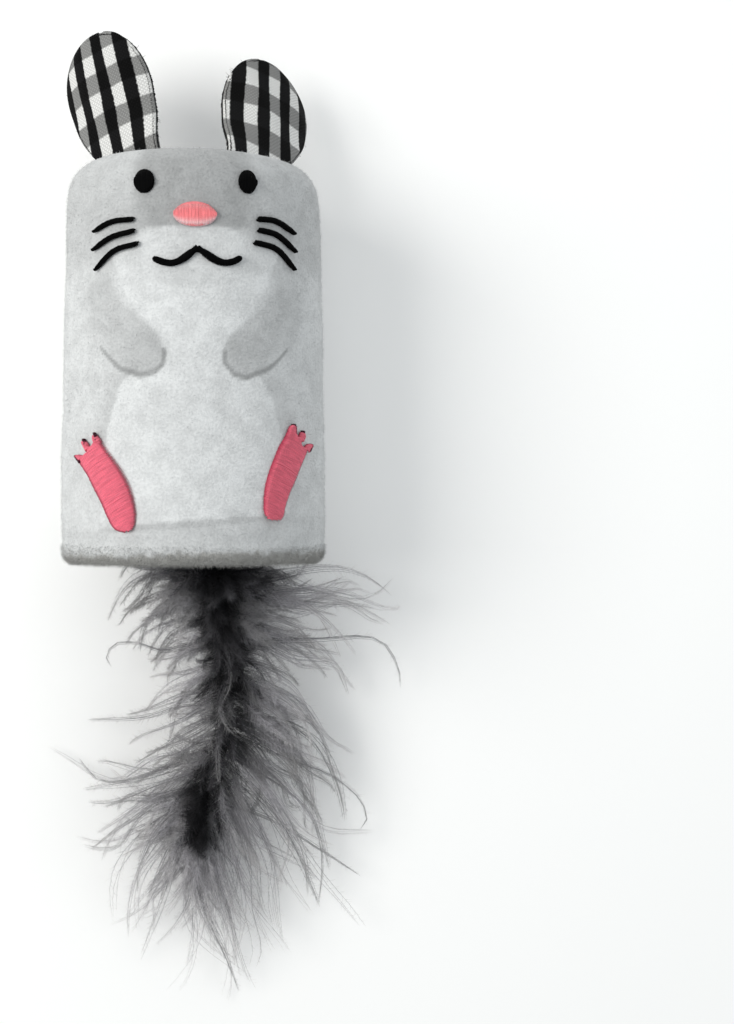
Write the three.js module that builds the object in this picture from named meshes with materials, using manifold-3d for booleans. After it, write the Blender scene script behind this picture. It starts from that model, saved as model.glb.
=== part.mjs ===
// Catnip mouse: a stuffed plush roll with gingham ears, an embroidered face and a marabou tail.
// Millimetres. It lies on its back: +Z is up out of the face and +Y points to the ears.
// Left and right in the names are as seen from above, with +X to the right.
// The origin is the middle of the flat that the back rests on.
import * as THREE from 'three';
import { mergeVertices } from 'three/addons/utils/BufferGeometryUtils.js';
import Module from 'manifold-3d';

const wasm = await Module();
wasm.setup();

// Driving dimensions
const BODY_LENGTH = 83;         // crown seam to base seam
const HEAD_RADIUS = 26.9;       // sleeve outside, under the shoulder
const BASE_RADIUS = 28.2;       // sleeve outside, above the hem
const BELLY_SWELL = 0.35;       // stuffing pushes the middle out by this much
const BACK_FLAT = 2.3;          // the back settles by this much where it lies on the surface
const PLUSH = 1.6;              // cloth with its pile
const SHOULDER = 5;             // rounding from the side of the head to the crown
const SEAM_ALLOWANCE = 4.4;     // cloth turned in at a seam
const SEAM_GROOVE = 0.8;        // between the two turned-in edges of the crown seam
const CROWN_RISE = 2.5;         // dome of the crown panel
const BASE_RISE = 0.8;          // dome of the base panel
const HEM_RADIUS = 2.2;         // rolled hem at the base
const THREAD = 0.25;            // sewing thread, radius
const CLEARANCE = 0.3;          // between pieces that touch

const EAR_HEIGHT = 27;          // fold to tip
const EAR_WIDTH = 23;           // at the widest
const EAR_FOOT_WIDTH = 16.5;    // at the fold
const EAR_PLY = 0.55;           // one layer of gingham
const EAR_GAP = 0.45;           // between the two layers
const EAR_CUP = 24;             // radius that the ear is cupped to
const EAR_SWAY = 3.4;           // how far its middle bows outwards
const EAR_INSET = 10.6;         // crown seam to the line of an ear's fold
const EAR_ASIDE = 9.8;          // outwards along that line to the middle of the ear
const EAR_FOLD_HEIGHT = 1.2;    // fold above the crown
const EAR_TAB = 0.6;            // sewn-in foot of the ear, thickness
const EAR_TAB_WIDTH = 11;
const EAR_ROOT = 0.25;          // plies start this far above the fold
const TAB_DROP = 0.55;          // foot ends this far below the fold
const LEFT_EAR = { side: -1, turn: -37, tilt: 3, lean: -13 };     // degrees
const RIGHT_EAR = { side: 1, turn: 35, tilt: -22, lean: 16.5 };

const STITCH = 0.6;             // height of the embroidery
const STITCH_EDGE = 0.2;        // height of its rim
const EYE = { wide: 4.3, high: 4.8 };
const NOSE = { wide: 8.2, high: 4.9 };
const MOUTH_WIDTH = 1.1;
const WHISKER_WIDTH = 0.9;
const FOOT = { long: 15.6, wide: 7.4, toe: 4.2, spread: 19, lean: 27 };
const LEFT_FOOT = { around: -18.6, rise: 13.1 };       // rise is from the base seam
const RIGHT_FOOT = { around: 20, rise: 15.1 };

const POUCH_RADIUS = 11.5;
const POUCH_LENGTH = 22;
const POUCH_NECK = 2.5;
const MUSLIN = 0.5;

const TAIL_SIDE = 3.8;          // tail root to the right of the body axis
const BINDING_RADIUS = 2;
const QUILL_RADIUS = 0.9;
const TUFT_BARBS = 6;           // to each side, in each layer of the root tuft
const PLUME_BARBS = 16;         // to each side, in each layer of the long plume
const BARB_RADIUS = 0.34;
const TUFT_LEFT = 22;           // longest barb of the root tuft to the left
const TUFT_RIGHT = 31;
const PLUME_BARB = 20;          // barb of the long plume where it starts
const PLUME_OPEN = 35;          // and where it stands open
const PLUME_END = 40;           // and at its end
const LIFT_AT = 12;             // the long plume lifts at this distance along the quill
const LIFT_GAP = 0.42;
// Quill, from the middle of the binding: aside, towards the base and down
const QUILL_ROUTE = [
  [0, 0, 0],
  [1, 7, 2],
  [3.4, 23, 8.6],
  [4.4, 34, 12],
  [2, 44.6, 14.2],
  [-2.6, 54, 15.6],
  [-4.6, 59, 16],
];

// Derived sizes
const REST_HEIGHT = BASE_RADIUS - BACK_FLAT;   // body axis above the surface
const CROWN_Y = BODY_LENGTH / 2;
const BASE_Y = -BODY_LENGTH / 2;
const SHOULDER_Y = CROWN_Y - SHOULDER;
const SLEEVE_END = BASE_Y + 2 * HEM_RADIUS - 0.7;
const HEM_Y = SLEEVE_END - CLEARANCE - HEM_RADIUS;
const CROWN_EDGE = HEAD_RADIUS - SHOULDER - 0.5;
const CROWN_RADIUS = CROWN_EDGE - SEAM_GROOVE;
const EAR_OFFSET = CROWN_RADIUS - EAR_INSET;
const EAR_REACH = Math.hypot(EAR_OFFSET, EAR_ASIDE);
const HEM_RING = BASE_RADIUS - HEM_RADIUS;
const BASE_PANEL_RADIUS = HEM_RING - HEM_RADIUS - CLEARANCE;
const POCKET_RADIUS = POUCH_RADIUS + 1.5;
const POUCH_END = 6;
const POUCH_TOP = POUCH_END - 4;
const POUCH_BOTTOM = POUCH_TOP - POUCH_LENGTH;
const POCKET_END = POUCH_END + 1;
const PLUG_TOP = POUCH_BOTTOM - CLEARANCE;
const STUFFING_END = BASE_Y + PLUSH + CLEARANCE;
const SEGMENTS = 44;

const rad = THREE.MathUtils.degToRad;
const scatter = (i, k) => {
  const v = Math.sin(i * 12.9898 + k * 78.233) * 43758.5453;
  return v - Math.floor(v);
};

// Solids

// Drops the extra attributes, welds the seams and turns the faces outward.
function weld(geometry) {
  let g = geometry.clone();
  g.deleteAttribute('normal');
  g.deleteAttribute('uv');
  g = mergeVertices(g, 1e-4);
  const p = g.attributes.position;
  const old = g.index.array;
  const faces = [];
  const a = new THREE.Vector3();
  const b = new THREE.Vector3();
  const c = new THREE.Vector3();
  let volume = 0;
  for (let i = 0; i < old.length; i += 3) {
    const [u, v, w] = [old[i], old[i + 1], old[i + 2]];
    if (u === v || v === w || w === u) continue;
    faces.push(u, v, w);
    a.fromBufferAttribute(p, u);
    b.fromBufferAttribute(p, v);
    c.fromBufferAttribute(p, w);
    volume += a.dot(b.cross(c));
  }
  if (volume < 0) faces.reverse();
  g.setIndex(faces);
  return g;
}

function solid(geometry) {
  const g = weld(geometry);
  const vertProperties = Float32Array.from(g.attributes.position.array);
  const triVerts = Uint32Array.from(g.index.array);
  return new wasm.Manifold(new wasm.Mesh({ numProp: 3, vertProperties, triVerts }));
}

function geometryOf(manifold) {
  const m = manifold.getMesh();
  const g = new THREE.BufferGeometry();
  g.setAttribute('position', new THREE.BufferAttribute(Float32Array.from(m.vertProperties), 3));
  g.setIndex(Array.from(m.triVerts));
  return g;
}

function fuse(solids) {
  return solids.reduce((all, one) => all.add(one));
}

const turned = (profile, segments = SEGMENTS) =>
  new THREE.LatheGeometry(profile.map(([r, y]) => new THREE.Vector2(r, y)), segments);

const ring = (radius, y, section, segments = 36, sides = 4) =>
  new THREE.TorusGeometry(radius, section, sides, segments).rotateX(Math.PI / 2).translate(0, y, 0);

// Box with its middle at the given place, in the body's own frame
const block = (w, l, h, x, y, z) => new THREE.BoxGeometry(w, l, h).translate(x, y, z);

// Everything below the surface that the toy lies on, raised by lift
function underFloor(lift) {
  const depth = 40;
  return solid(block(120, 240, depth, 0, 0, -REST_HEIGHT + lift - depth / 2));
}

// Closed skin through rings of points, all rings alike, with a fan over each end.
// The last fan can rise to a tip.
function skin(rings, tip = null) {
  const n = rings[0].length;
  const points = rings.flat();
  const faces = [];
  for (let i = 0; i + 1 < rings.length; i++) {
    for (let j = 0; j < n; j++) {
      const a = i * n + j;
      const b = i * n + (j + 1) % n;
      faces.push(a, b, a + n, b, b + n, a + n);
    }
  }
  for (const first of [0, (rings.length - 1) * n]) {
    let middle = points.length;
    if (first && tip) {
      points.push(tip);
    } else if (n === 3) {
      middle = first;
    } else {
      const m = new THREE.Vector3();
      for (let j = 0; j < n; j++) m.addScaledVector(points[first + j], 1 / n);
      points.push(m);
    }
    for (let j = 0; j < n; j++) {
      const a = first + j;
      const b = first + (j + 1) % n;
      if (a === middle || b === middle) continue;
      faces.push(...(first ? [a, b, middle] : [b, a, middle]));
    }
  }
  const g = new THREE.BufferGeometry().setFromPoints(points);
  g.setIndex(faces);
  return g;
}

const pieces = new THREE.Group();
pieces.name = 'catnip_mouse';
const body = new THREE.Group();
body.position.z = REST_HEIGHT;
pieces.add(body);

function piece(name, shape, colour, roughness, parent = body) {
  const geometry = weld(shape.isBufferGeometry ? shape : geometryOf(shape));
  geometry.computeVertexNormals();
  const material = new THREE.MeshStandardMaterial({ color: colour, roughness, metalness: 0 });
  const mesh = new THREE.Mesh(geometry, material);
  mesh.name = name;
  parent.add(mesh);
  return mesh;
}

// Body cloth

function sleeveRadius(y) {
  const t = THREE.MathUtils.clamp((y - SLEEVE_END) / (SHOULDER_Y - SLEEVE_END), 0, 1);
  return THREE.MathUtils.lerp(BASE_RADIUS, HEAD_RADIUS, t) + BELLY_SWELL * Math.sin(Math.PI * t);
}

// Side of the sleeve, brought in by inset, from the hem up to the shoulder
function sleeveSide(inset, from) {
  const steps = 5;
  const side = [];
  for (let i = 0; i <= steps; i++) {
    const y = THREE.MathUtils.lerp(from, SHOULDER_Y, i / steps);
    side.push([sleeveRadius(y) - inset, y]);
  }
  return side;
}

function shoulderArc(inset, innerRadius) {
  const r = SHOULDER - inset;
  const steps = 4;
  const stop = Math.acos(Math.max((innerRadius - HEAD_RADIUS + SHOULDER) / r, 0));
  const arc = [];
  for (let i = 1; i <= steps; i++) {
    const a = stop * i / steps;
    arc.push([HEAD_RADIUS - SHOULDER + r * Math.cos(a), SHOULDER_Y + r * Math.sin(a)]);
  }
  return arc;
}

const BACK_SEAM = 148;          // degrees round from the face, beside the flat that it rests on
const SEAM_FIN = 2.4;           // the two turned-in edges of the back seam together
const finTop = SHOULDER_Y - 1;
const finLength = finTop - SLEEVE_END;
const finMiddle = (finTop + SLEEVE_END) / 2;
const backSeam = (geometry) => solid(geometry.rotateY(rad(BACK_SEAM)));

const allowanceEnd = CROWN_Y - SEAM_ALLOWANCE;
const outside = solid(turned([
  [0, SLEEVE_END],
  ...sleeveSide(0, SLEEVE_END),
  ...shoulderArc(0, HEAD_RADIUS - SHOULDER),
  [CROWN_EDGE, CROWN_Y - 0.3],
  [0, CROWN_Y - 0.3],
]));
const inside = solid(turned([
  [0, SLEEVE_END - 1],
  [BASE_RADIUS - PLUSH, SLEEVE_END - 1],
  ...sleeveSide(PLUSH, SLEEVE_END),
  ...shoulderArc(PLUSH, CROWN_EDGE + PLUSH),
  [CROWN_EDGE + PLUSH, allowanceEnd],
  [CROWN_EDGE, allowanceEnd],
  [CROWN_EDGE, CROWN_Y + 1],
  [0, CROWN_Y + 1],
]));
const finReach = Math.min(HEAD_RADIUS, BASE_RADIUS) - SEAM_ALLOWANCE;
const finInner = finReach - PLUSH;
const finOuter = Math.max(HEAD_RADIUS, BASE_RADIUS) - PLUSH / 2;
const finBlock = (width, length, inner, outer, y) =>
  backSeam(block(width, length, outer - inner, 0, y, (outer + inner) / 2));
const fin = finBlock(SEAM_FIN, finLength, finInner, finOuter, finMiddle)
  .intersect(outside)
  .subtract(solid(turned([
    [0, allowanceEnd - 1],
    [HEAD_RADIUS, allowanceEnd - 1],
    [HEAD_RADIUS, CROWN_Y + 2],
    [0, CROWN_Y + 2],
  ])));
const seamLine = backSeam(block(0.7, BODY_LENGTH * 2, 1.4, 0, 0, BASE_RADIUS + 0.1));
const sleeve = outside.subtract(underFloor(0))
  .subtract(inside.subtract(underFloor(PLUSH)))
  .add(fin)
  .subtract(seamLine);
piece('body_sleeve', sleeve, 0xd2d4d4, 0.95);

// Crown, base and hem

const crownHeight = (r) => CROWN_Y - CLEARANCE + CROWN_RISE * (1 - (r / CROWN_RADIUS) ** 2);
function crownDome(drop, reach) {
  const steps = 4;
  const dome = [];
  for (let i = 0; i <= steps; i++) {
    const r = reach * i / steps;
    dome.push([r, crownHeight(r) - drop]);
  }
  return dome;
}

// Slot for the foot of an ear, wider than the foot by grow all round
function earSlot(ear, grow) {
  const depth = 2 * SEAM_ALLOWANCE;
  const top = crownHeight(EAR_REACH) + EAR_FOLD_HEIGHT - TAB_DROP + grow;
  const slot = block(EAR_TAB_WIDTH + 2 * grow, depth + 2 * grow, EAR_TAB + 2 * grow,
    ear.side * EAR_ASIDE, top - depth / 2, EAR_OFFSET);
  return slot.rotateY(rad(ear.turn));
}

const crown = solid(turned([
  ...crownDome(0, CROWN_RADIUS),
  [CROWN_RADIUS, allowanceEnd],
  [CROWN_RADIUS - PLUSH, allowanceEnd],
  ...crownDome(PLUSH, CROWN_RADIUS - PLUSH).reverse(),
]));
piece('crown_panel', crown
  .subtract(solid(earSlot(LEFT_EAR, CLEARANCE)))
  .subtract(solid(earSlot(RIGHT_EAR, CLEARANCE))), 0xc6c9ca, 0.95);

const basePanel = [];
const baseInner = [];
for (let i = 0; i <= 3; i++) {
  const r = BASE_PANEL_RADIUS * i / 3;
  const y = BASE_Y - BASE_RISE * (1 - (i / 3) ** 2);
  basePanel.push([r, y]);
  baseInner.unshift([r, y + PLUSH]);
}
const tailHole = (r, y, length) =>
  solid(new THREE.CylinderGeometry(r, r, length, 20).translate(TAIL_SIDE, y, 0));
piece('base_panel', solid(turned([...basePanel, ...baseInner]))
  .subtract(tailHole(QUILL_RADIUS + CLEARANCE, BASE_Y, 12)), 0xc9cbcb, 0.95);
const hem = solid(ring(HEM_RING, HEM_Y, HEM_RADIUS, SEGMENTS, 8));
piece('base_hem', hem.subtract(underFloor(0)), 0xcdcfcd, 0.97);

// Seam threads
const crownThreadRing = (CROWN_EDGE + CROWN_RADIUS) / 2;
piece('crown_seam_thread', ring(crownThreadRing, allowanceEnd + 1, THREAD * 0.8), 0xbfc2c4, 0.7);
piece('base_seam_thread', ring(BASE_PANEL_RADIUS - 0.3, BASE_Y + PLUSH + 0.7, THREAD), 0xbfc2c4, 0.7);
const backThread = new THREE.CylinderGeometry(THREAD, THREAD, finLength - 4, 8)
  .translate(SEAM_FIN / 2 + THREAD + 0.2, finMiddle, finReach)
  .rotateY(rad(BACK_SEAM));
piece('back_seam_thread', backThread, 0xbfc2c4, 0.7);

// Stuffing, with a pocket open to the base for the pouch and a plug that closes it

const fillInset = PLUSH + CLEARANCE;
const fillNeck = CROWN_RADIUS - PLUSH - CLEARANCE;
const fill = solid(turned([
  [0, STUFFING_END],
  [BASE_PANEL_RADIUS - 1.2, STUFFING_END],
  [BASE_PANEL_RADIUS - 1.2, SLEEVE_END + CLEARANCE],
  ...sleeveSide(fillInset, SLEEVE_END + CLEARANCE),
  [HEAD_RADIUS - fillInset - 0.7, allowanceEnd - CLEARANCE],
  [fillNeck, allowanceEnd - CLEARANCE],
  ...crownDome(fillInset, fillNeck).reverse(),
], 32));
const finSpace = finBlock(SEAM_FIN + 2.2, BODY_LENGTH, finInner - 2 * CLEARANCE, finOuter + PLUSH, 0);
const pocketLength = POCKET_END - STUFFING_END + 2;
const pocket = solid(new THREE.CylinderGeometry(POCKET_RADIUS, POCKET_RADIUS, pocketLength, 32)
  .translate(0, POCKET_END - pocketLength / 2, 0));
piece('stuffing_core', fill
  .subtract(underFloor(fillInset))
  .subtract(finSpace)
  .subtract(pocket)
  .subtract(solid(earSlot(LEFT_EAR, CLEARANCE)))
  .subtract(solid(earSlot(RIGHT_EAR, CLEARANCE))), 0xf4f4f0, 1);

const knotSpace = BINDING_RADIUS + 2 * CLEARANCE;
const plugRadius = POCKET_RADIUS - CLEARANCE;
const plugLength = PLUG_TOP - STUFFING_END;
const plug = solid(new THREE.CylinderGeometry(plugRadius, plugRadius, plugLength, 32)
  .translate(0, PLUG_TOP - plugLength / 2, 0));
piece('stuffing_plug', plug
  .subtract(tailHole(knotSpace, STUFFING_END, 4 * BINDING_RADIUS + 2)), 0xf4f4f0, 1);

// Catnip pouch: a muslin sack tied at the neck
function sack(inset, neck) {
  const r = POUCH_RADIUS - inset;
  const low = POUCH_BOTTOM + inset;
  return [
    [0, low],
    [r * 0.55, low + 0.6],
    [r * 0.88, low + 3.2],
    [r, low + POUCH_LENGTH * 0.36],
    [r * 0.93, low + POUCH_LENGTH * 0.6],
    [r * 0.6, POUCH_TOP - 3.2 - inset],
    [neck - inset, POUCH_TOP],
  ];
}
piece('catnip_pouch', turned([
  ...sack(0, POUCH_NECK),
  [POUCH_NECK + 2, POUCH_END],
  [POUCH_NECK + 2 - MUSLIN, POUCH_END],
  ...sack(MUSLIN, POUCH_NECK).reverse(),
], 20), 0xe6dcc4, 0.9);
piece('pouch_tie', ring(POUCH_NECK + 1.1, POUCH_TOP, 0.4, 16, 5), 0xf0ede4, 0.8);
piece('dried_catnip', turned([
  ...sack(MUSLIN + CLEARANCE, POUCH_NECK).slice(0, -1),
  [0, POUCH_TOP - 3.2],
], 20), 0x6f7a3a, 1);

// Ears: two cupped plies each, above a foot that is sewn through a slit in the crown

function earHalfWidth(y) {
  const widest = EAR_HEIGHT * 0.55;
  if (y < widest) {
    const low = (widest - y) / (widest - EAR_ROOT);
    return EAR_WIDTH / 2 - (EAR_WIDTH - EAR_FOOT_WIDTH) / 2 * low * low;
  }
  const high = Math.min((y - widest) / (EAR_HEIGHT - widest), 1);
  return EAR_WIDTH / 2 * Math.sqrt(1 - high * high);
}

// One ply between the heights z0 and z1 over the middle of the ear
function earPly(ear, z0, z1) {
  const rows = 9;
  const columns = 6;
  const rings = [];
  for (let i = 0; i <= rows; i++) {
    const t = Math.sin(Math.PI / 2 * i / rows);
    const y = EAR_ROOT + (EAR_HEIGHT - EAR_ROOT) * t;
    const half = Math.max(earHalfWidth(y), 0.6);
    const fade = THREE.MathUtils.smoothstep(y, 0, EAR_HEIGHT * 0.4);
    const up = y / EAR_HEIGHT;
    const bow = y * Math.tan(rad(ear.lean)) + ear.side * EAR_SWAY * 4 * up * (1 - up);
    const at = (k, z) => {
      const x = half * (2 * k / columns - 1);
      return new THREE.Vector3(x + bow, y, z - fade * x * x / (2 * EAR_CUP));
    };
    const loop = [];
    for (let k = 0; k <= columns; k++) loop.push(at(k, z1));
    for (let k = columns; k >= 0; k--) loop.push(at(k, z0));
    rings.push(loop);
  }
  return skin(rings);
}

function makeEar(side, ear) {
  piece(`${side}_ear_tab`, earSlot(ear, 0), 0x9a9a9a, 0.9);
  const turn = new THREE.Group();
  turn.rotation.y = rad(ear.turn);
  const fold = new THREE.Group();
  fold.position.set(ear.side * EAR_ASIDE, crownHeight(EAR_REACH) + EAR_FOLD_HEIGHT, EAR_OFFSET);
  fold.rotation.x = rad(ear.tilt);
  turn.add(fold);
  body.add(turn);
  const half = EAR_GAP / 2;
  piece(`${side}_ear_front`, earPly(ear, half, half + EAR_PLY), 0x8f8f8f, 0.9, fold);
  piece(`${side}_ear_back`, earPly(ear, -half - EAR_PLY, -half), 0x7d7d7d, 0.9, fold);
}
makeEar('left', LEFT_EAR);
makeEar('right', RIGHT_EAR);

// Embroidery. A place on the sleeve is given by its distance round from the middle of the face,
// its place along the body, and its height over the cloth.
function onSleeve(around, along, height) {
  const r = sleeveRadius(along);
  const a = around / r;
  return new THREE.Vector3((r + height) * Math.sin(a), along, (r + height) * Math.cos(a));
}

// Satin-stitched pad whose edge is reach(angle) from its middle
function pad(around, along, reach, turn = 0, count = 20) {
  const levels = [[0.5, 0], [1, 0], [1, STITCH_EDGE], [0.6, STITCH]];
  const rings = levels.map(([k, h]) => {
    const loop = [];
    for (let i = 0; i < count; i++) {
      const a = 2 * Math.PI * i / count;
      const r = k * reach(a);
      loop.push(onSleeve(around + r * Math.sin(a + turn), along + r * Math.cos(a + turn), CLEARANCE + h));
    }
    return loop;
  });
  return skin(rings);
}

const oval = (wide, high) => (a) => {
  const s = Math.sin(a) / (wide / 2);
  const c = Math.cos(a) / (high / 2);
  return 1 / Math.sqrt(s * s + c * c);
};

// Line of stitches through points on the sleeve
function stitchLine(points, width) {
  const curve = new THREE.CatmullRomCurve3(points.map(([x, y]) => new THREE.Vector3(x, y, 0)));
  const steps = 4 * (points.length - 1);
  const rings = [];
  for (let i = 0; i <= steps; i++) {
    const p = curve.getPoint(i / steps);
    const t = curve.getTangent(i / steps);
    const half = width / 2 * (i === 0 || i === steps ? 0.45 : 1);
    const at = (k, h) => onSleeve(p.x - t.y * half * k, p.y + t.x * half * k, h);
    rings.push([at(-1, CLEARANCE), at(-0.8, CLEARANCE + STITCH * 0.7), at(0, CLEARANCE + STITCH),
      at(0.8, CLEARANCE + STITCH * 0.7), at(1, CLEARANCE)]);
  }
  return skin(rings);
}

// Features of the face are placed by their distance round from its middle and their drop from the crown seam
const faceLine = (points, width) => stitchLine(points.map(([x, drop]) => [x, CROWN_Y - drop]), width);
const facePad = (x, drop, reach) => pad(x, CROWN_Y - drop, reach);

const BLACK = 0x141416;
const PINK = 0xe8798a;
piece('left_eye', facePad(-10.1, 7.8, oval(EYE.wide, EYE.high)), BLACK, 0.5);
piece('right_eye', facePad(10.8, 7.4, oval(EYE.wide * 0.92, EYE.high)), BLACK, 0.5);
piece('nose', facePad(0.1, 14.5, oval(NOSE.wide, NOSE.high)), PINK, 0.5);
const SMILE = [[-7.9, 23.3], [-4.3, 24.3], [0.5, 21.6], [5.8, 23.9], [9.2, 23]];
piece('mouth', faceLine(SMILE, MOUTH_WIDTH), BLACK, 0.5);

const WHISKERS = {
  left_whisker_top: [[-12.4, 15.4], [-17.6, 15.5], [-22.3, 16.9]],
  left_whisker_middle: [[-12.2, 17.7], [-17.6, 18.6], [-22.6, 20.6]],
  left_whisker_bottom: [[-11.4, 20.3], [-16.9, 21.4], [-21.8, 24.7]],
  right_whisker_top: [[13, 14.6], [17.6, 14.6], [22.8, 16.4]],
  right_whisker_middle: [[13.2, 16.8], [17.8, 17.4], [23.1, 20.1]],
  right_whisker_bottom: [[12.3, 19.4], [17.7, 20.3], [22.7, 23.8]],
};
for (const [name, points] of Object.entries(WHISKERS)) {
  piece(name, faceLine(points, WHISKER_WIDTH), BLACK, 0.5);
}

// Foot: a long sole with three toes at its far end
function footReach(a) {
  const sole = oval(FOOT.wide, FOOT.long)(a);
  const from = (a + Math.PI) % (2 * Math.PI) - Math.PI;
  let toe = 0;
  for (const k of [-1, 0, 1]) {
    const off = (from - k * rad(FOOT.spread)) / rad(FOOT.spread * 0.33);
    toe = Math.max(toe, Math.exp(-off * off));
  }
  return sole + FOOT.toe * toe;
}
const sole = (place, lean) => pad(place.around, BASE_Y + place.rise, footReach, rad(lean), 52);
piece('left_foot', sole(LEFT_FOOT, -FOOT.lean), PINK, 0.6);
piece('right_foot', sole(RIGHT_FOOT, FOOT.lean), PINK, 0.6);

// Tail

const BINDING_Y = BASE_Y - BASE_RISE - CLEARANCE - BINDING_RADIUS;
const anchorStart = BINDING_Y + BINDING_RADIUS + CLEARANCE;
const knotMiddle = STUFFING_END + BINDING_RADIUS + CLEARANCE;
piece('tail_anchor', fuse([
  solid(new THREE.SphereGeometry(BINDING_RADIUS, 12, 8).translate(TAIL_SIDE, knotMiddle, 0)),
  tailHole(QUILL_RADIUS, (anchorStart + knotMiddle) / 2, knotMiddle - anchorStart),
]), 0x3a3a40, 0.8);

const windings = [];
for (let i = 0; i <= 8; i++) {
  const y = BINDING_RADIUS * (i / 4 - 1);
  const ball = Math.sqrt(Math.max(BINDING_RADIUS ** 2 - y * y, 0));
  windings.push([ball * (i % 2 ? 0.9 : 1), BINDING_Y + y]);
}
piece('tail_binding', turned(windings, 14).translate(TAIL_SIDE, 0, 0), 0x26262b, 0.8);

// The quill bends down to the surface; heights are over that surface.
const quill = new THREE.CatmullRomCurve3(QUILL_ROUTE.map(([aside, back, down]) =>
  new THREE.Vector3(TAIL_SIDE + aside, BINDING_Y - back, REST_HEIGHT - down)));
const quillLength = quill.getLength();

// A barb runs from the quill at distance s, spread degrees off its line, on the side given by angle
function barb(s, spread, angle, length, sweep, root) {
  const u = s / quillLength;
  const from = quill.getPointAt(u);
  const along = quill.getTangentAt(u);
  const across = new THREE.Vector3(-along.y, along.x, 0).normalize();
  const up = across.clone().cross(along).multiplyScalar(-1);
  const out = across.multiplyScalar(Math.cos(angle)).addScaledVector(up, Math.sin(angle));
  const start = along.clone().multiplyScalar(Math.cos(rad(spread)));
  start.addScaledVector(out, Math.sin(rad(spread)));
  const bend = along.clone().multiplyScalar(sweep).add(new THREE.Vector3(0, 0, -0.12));
  const spine = [];
  for (const t of [0, 0.38, 0.74, 1]) {
    spine.push(start.clone().multiplyScalar(length * t).addScaledVector(bend, length * t * t));
  }
  const lowest = Math.min(...spine.map((p) => from.z + p.z));
  const rest = 0.5;
  const squash = lowest < rest ? (from.z - rest) / (from.z - lowest) : 1;
  spine.forEach((p) => { p.z *= p.z < 0 ? squash : 1; });
  const side = start.clone().cross(new THREE.Vector3(0, 0, 1)).normalize();
  const rise = side.clone().cross(start).normalize();
  const tip = from.clone().add(spine.pop());
  const rings = spine.map((p, i) => {
    const r = root * [1, 0.85, 0.6][i];
    return [0, 1, 2].map((k) => {
      const a = 2 * Math.PI * k / 3 + Math.PI / 2;
      const corner = from.clone().add(p).addScaledVector(side, r * Math.cos(a));
      return corner.addScaledVector(rise, r * Math.sin(a));
    });
  });
  return solid(skin(rings, tip));
}

// Stretch of quill between two distances along it
function quillPiece(s0, s1, thin) {
  const rings = [];
  const steps = Math.max(3, Math.round((s1 - s0) / 6));
  for (let i = 0; i <= steps; i++) {
    const u = (s0 + (s1 - s0) * i / steps) / quillLength;
    const p = quill.getPointAt(u);
    const t = quill.getTangentAt(u);
    const across = new THREE.Vector3(-t.y, t.x, 0).normalize();
    const up = across.clone().cross(t);
    const r = QUILL_RADIUS * THREE.MathUtils.lerp(1, thin, i / steps);
    const loop = [];
    for (let k = 0; k < 8; k++) {
      const a = 2 * Math.PI * k / 8;
      loop.push(p.clone().addScaledVector(across, r * Math.cos(a)).addScaledVector(up, r * Math.sin(a)));
    }
    rings.push(loop);
  }
  return solid(skin(rings));
}

// Barbs stand in layers round the quill, at these angles above the horizontal, the same to both sides
const TUFT_LAYERS = [-34, -18, -3];
const PLUME_LAYERS = [-12, 14, 42, 76];

// Tuft at the root: barbs to both sides and a little downward, wide of the long plume
const tuft = [quillPiece(BINDING_RADIUS + CLEARANCE, LIFT_AT - LIFT_GAP, 0.95)];
const tuftSpan = LIFT_AT - LIFT_GAP - BINDING_RADIUS - 2.4;
TUFT_LAYERS.forEach((layer, k) => {
  for (let i = 0; i < 2 * TUFT_BARBS; i++) {
    const right = i % 2;
    const t = (Math.floor(i / 2) + k / TUFT_LAYERS.length) / TUFT_BARBS;
    const angle = right ? rad(layer) : Math.PI - rad(layer);
    const length = (right ? TUFT_RIGHT : TUFT_LEFT) * (0.7 + 0.3 * scatter(i, k));
    tuft.push(barb(BINDING_RADIUS + 1.4 + tuftSpan * t, 57 - 13 * t, angle, length, 0.06, BARB_RADIUS));
  }
});
piece('root_plume', fuse(tuft), 0x55545b, 0.9, pieces);

// Long plume: barbs close to the quill where it starts, spread wide further down and fanned out at its end
const plumeStart = LIFT_AT + LIFT_GAP;
const plume = [quillPiece(plumeStart, quillLength - 0.2, 0.6)];
PLUME_LAYERS.forEach((layer, k) => {
  for (let i = 0; i < 2 * PLUME_BARBS; i++) {
    const right = i % 2;
    const t = (Math.floor(i / 2) + k / PLUME_LAYERS.length) / PLUME_BARBS;
    const s = THREE.MathUtils.lerp(plumeStart + 2, quillLength - 0.8, t);
    const opened = THREE.MathUtils.smoothstep(t, 0, 0.4);
    const closing = THREE.MathUtils.smoothstep(t, 0.62, 1);
    const spread = 24 + 34 * opened - 44 * closing;
    const full = PLUME_BARB + (PLUME_OPEN - PLUME_BARB) * opened + (PLUME_END - PLUME_OPEN) * closing;
    const length = full * (0.75 + 0.25 * scatter(i, k + 5));
    plume.push(barb(s, spread, right ? rad(layer) : Math.PI - rad(layer), length, 0.14, BARB_RADIUS));
  }
});
piece('main_plume', fuse(plume), 0x6b6a70, 0.9, pieces);

export default pieces;
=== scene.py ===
"""Catnip mouse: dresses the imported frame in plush, embroidery, gingham ears and a marabou tail."""

import logging
import math
from dataclasses import dataclass, field
from enum import Enum
from typing import Callable, Sequence

import bmesh
import bpy
import numpy as np
from mathutils import Matrix, Vector, noise


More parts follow.
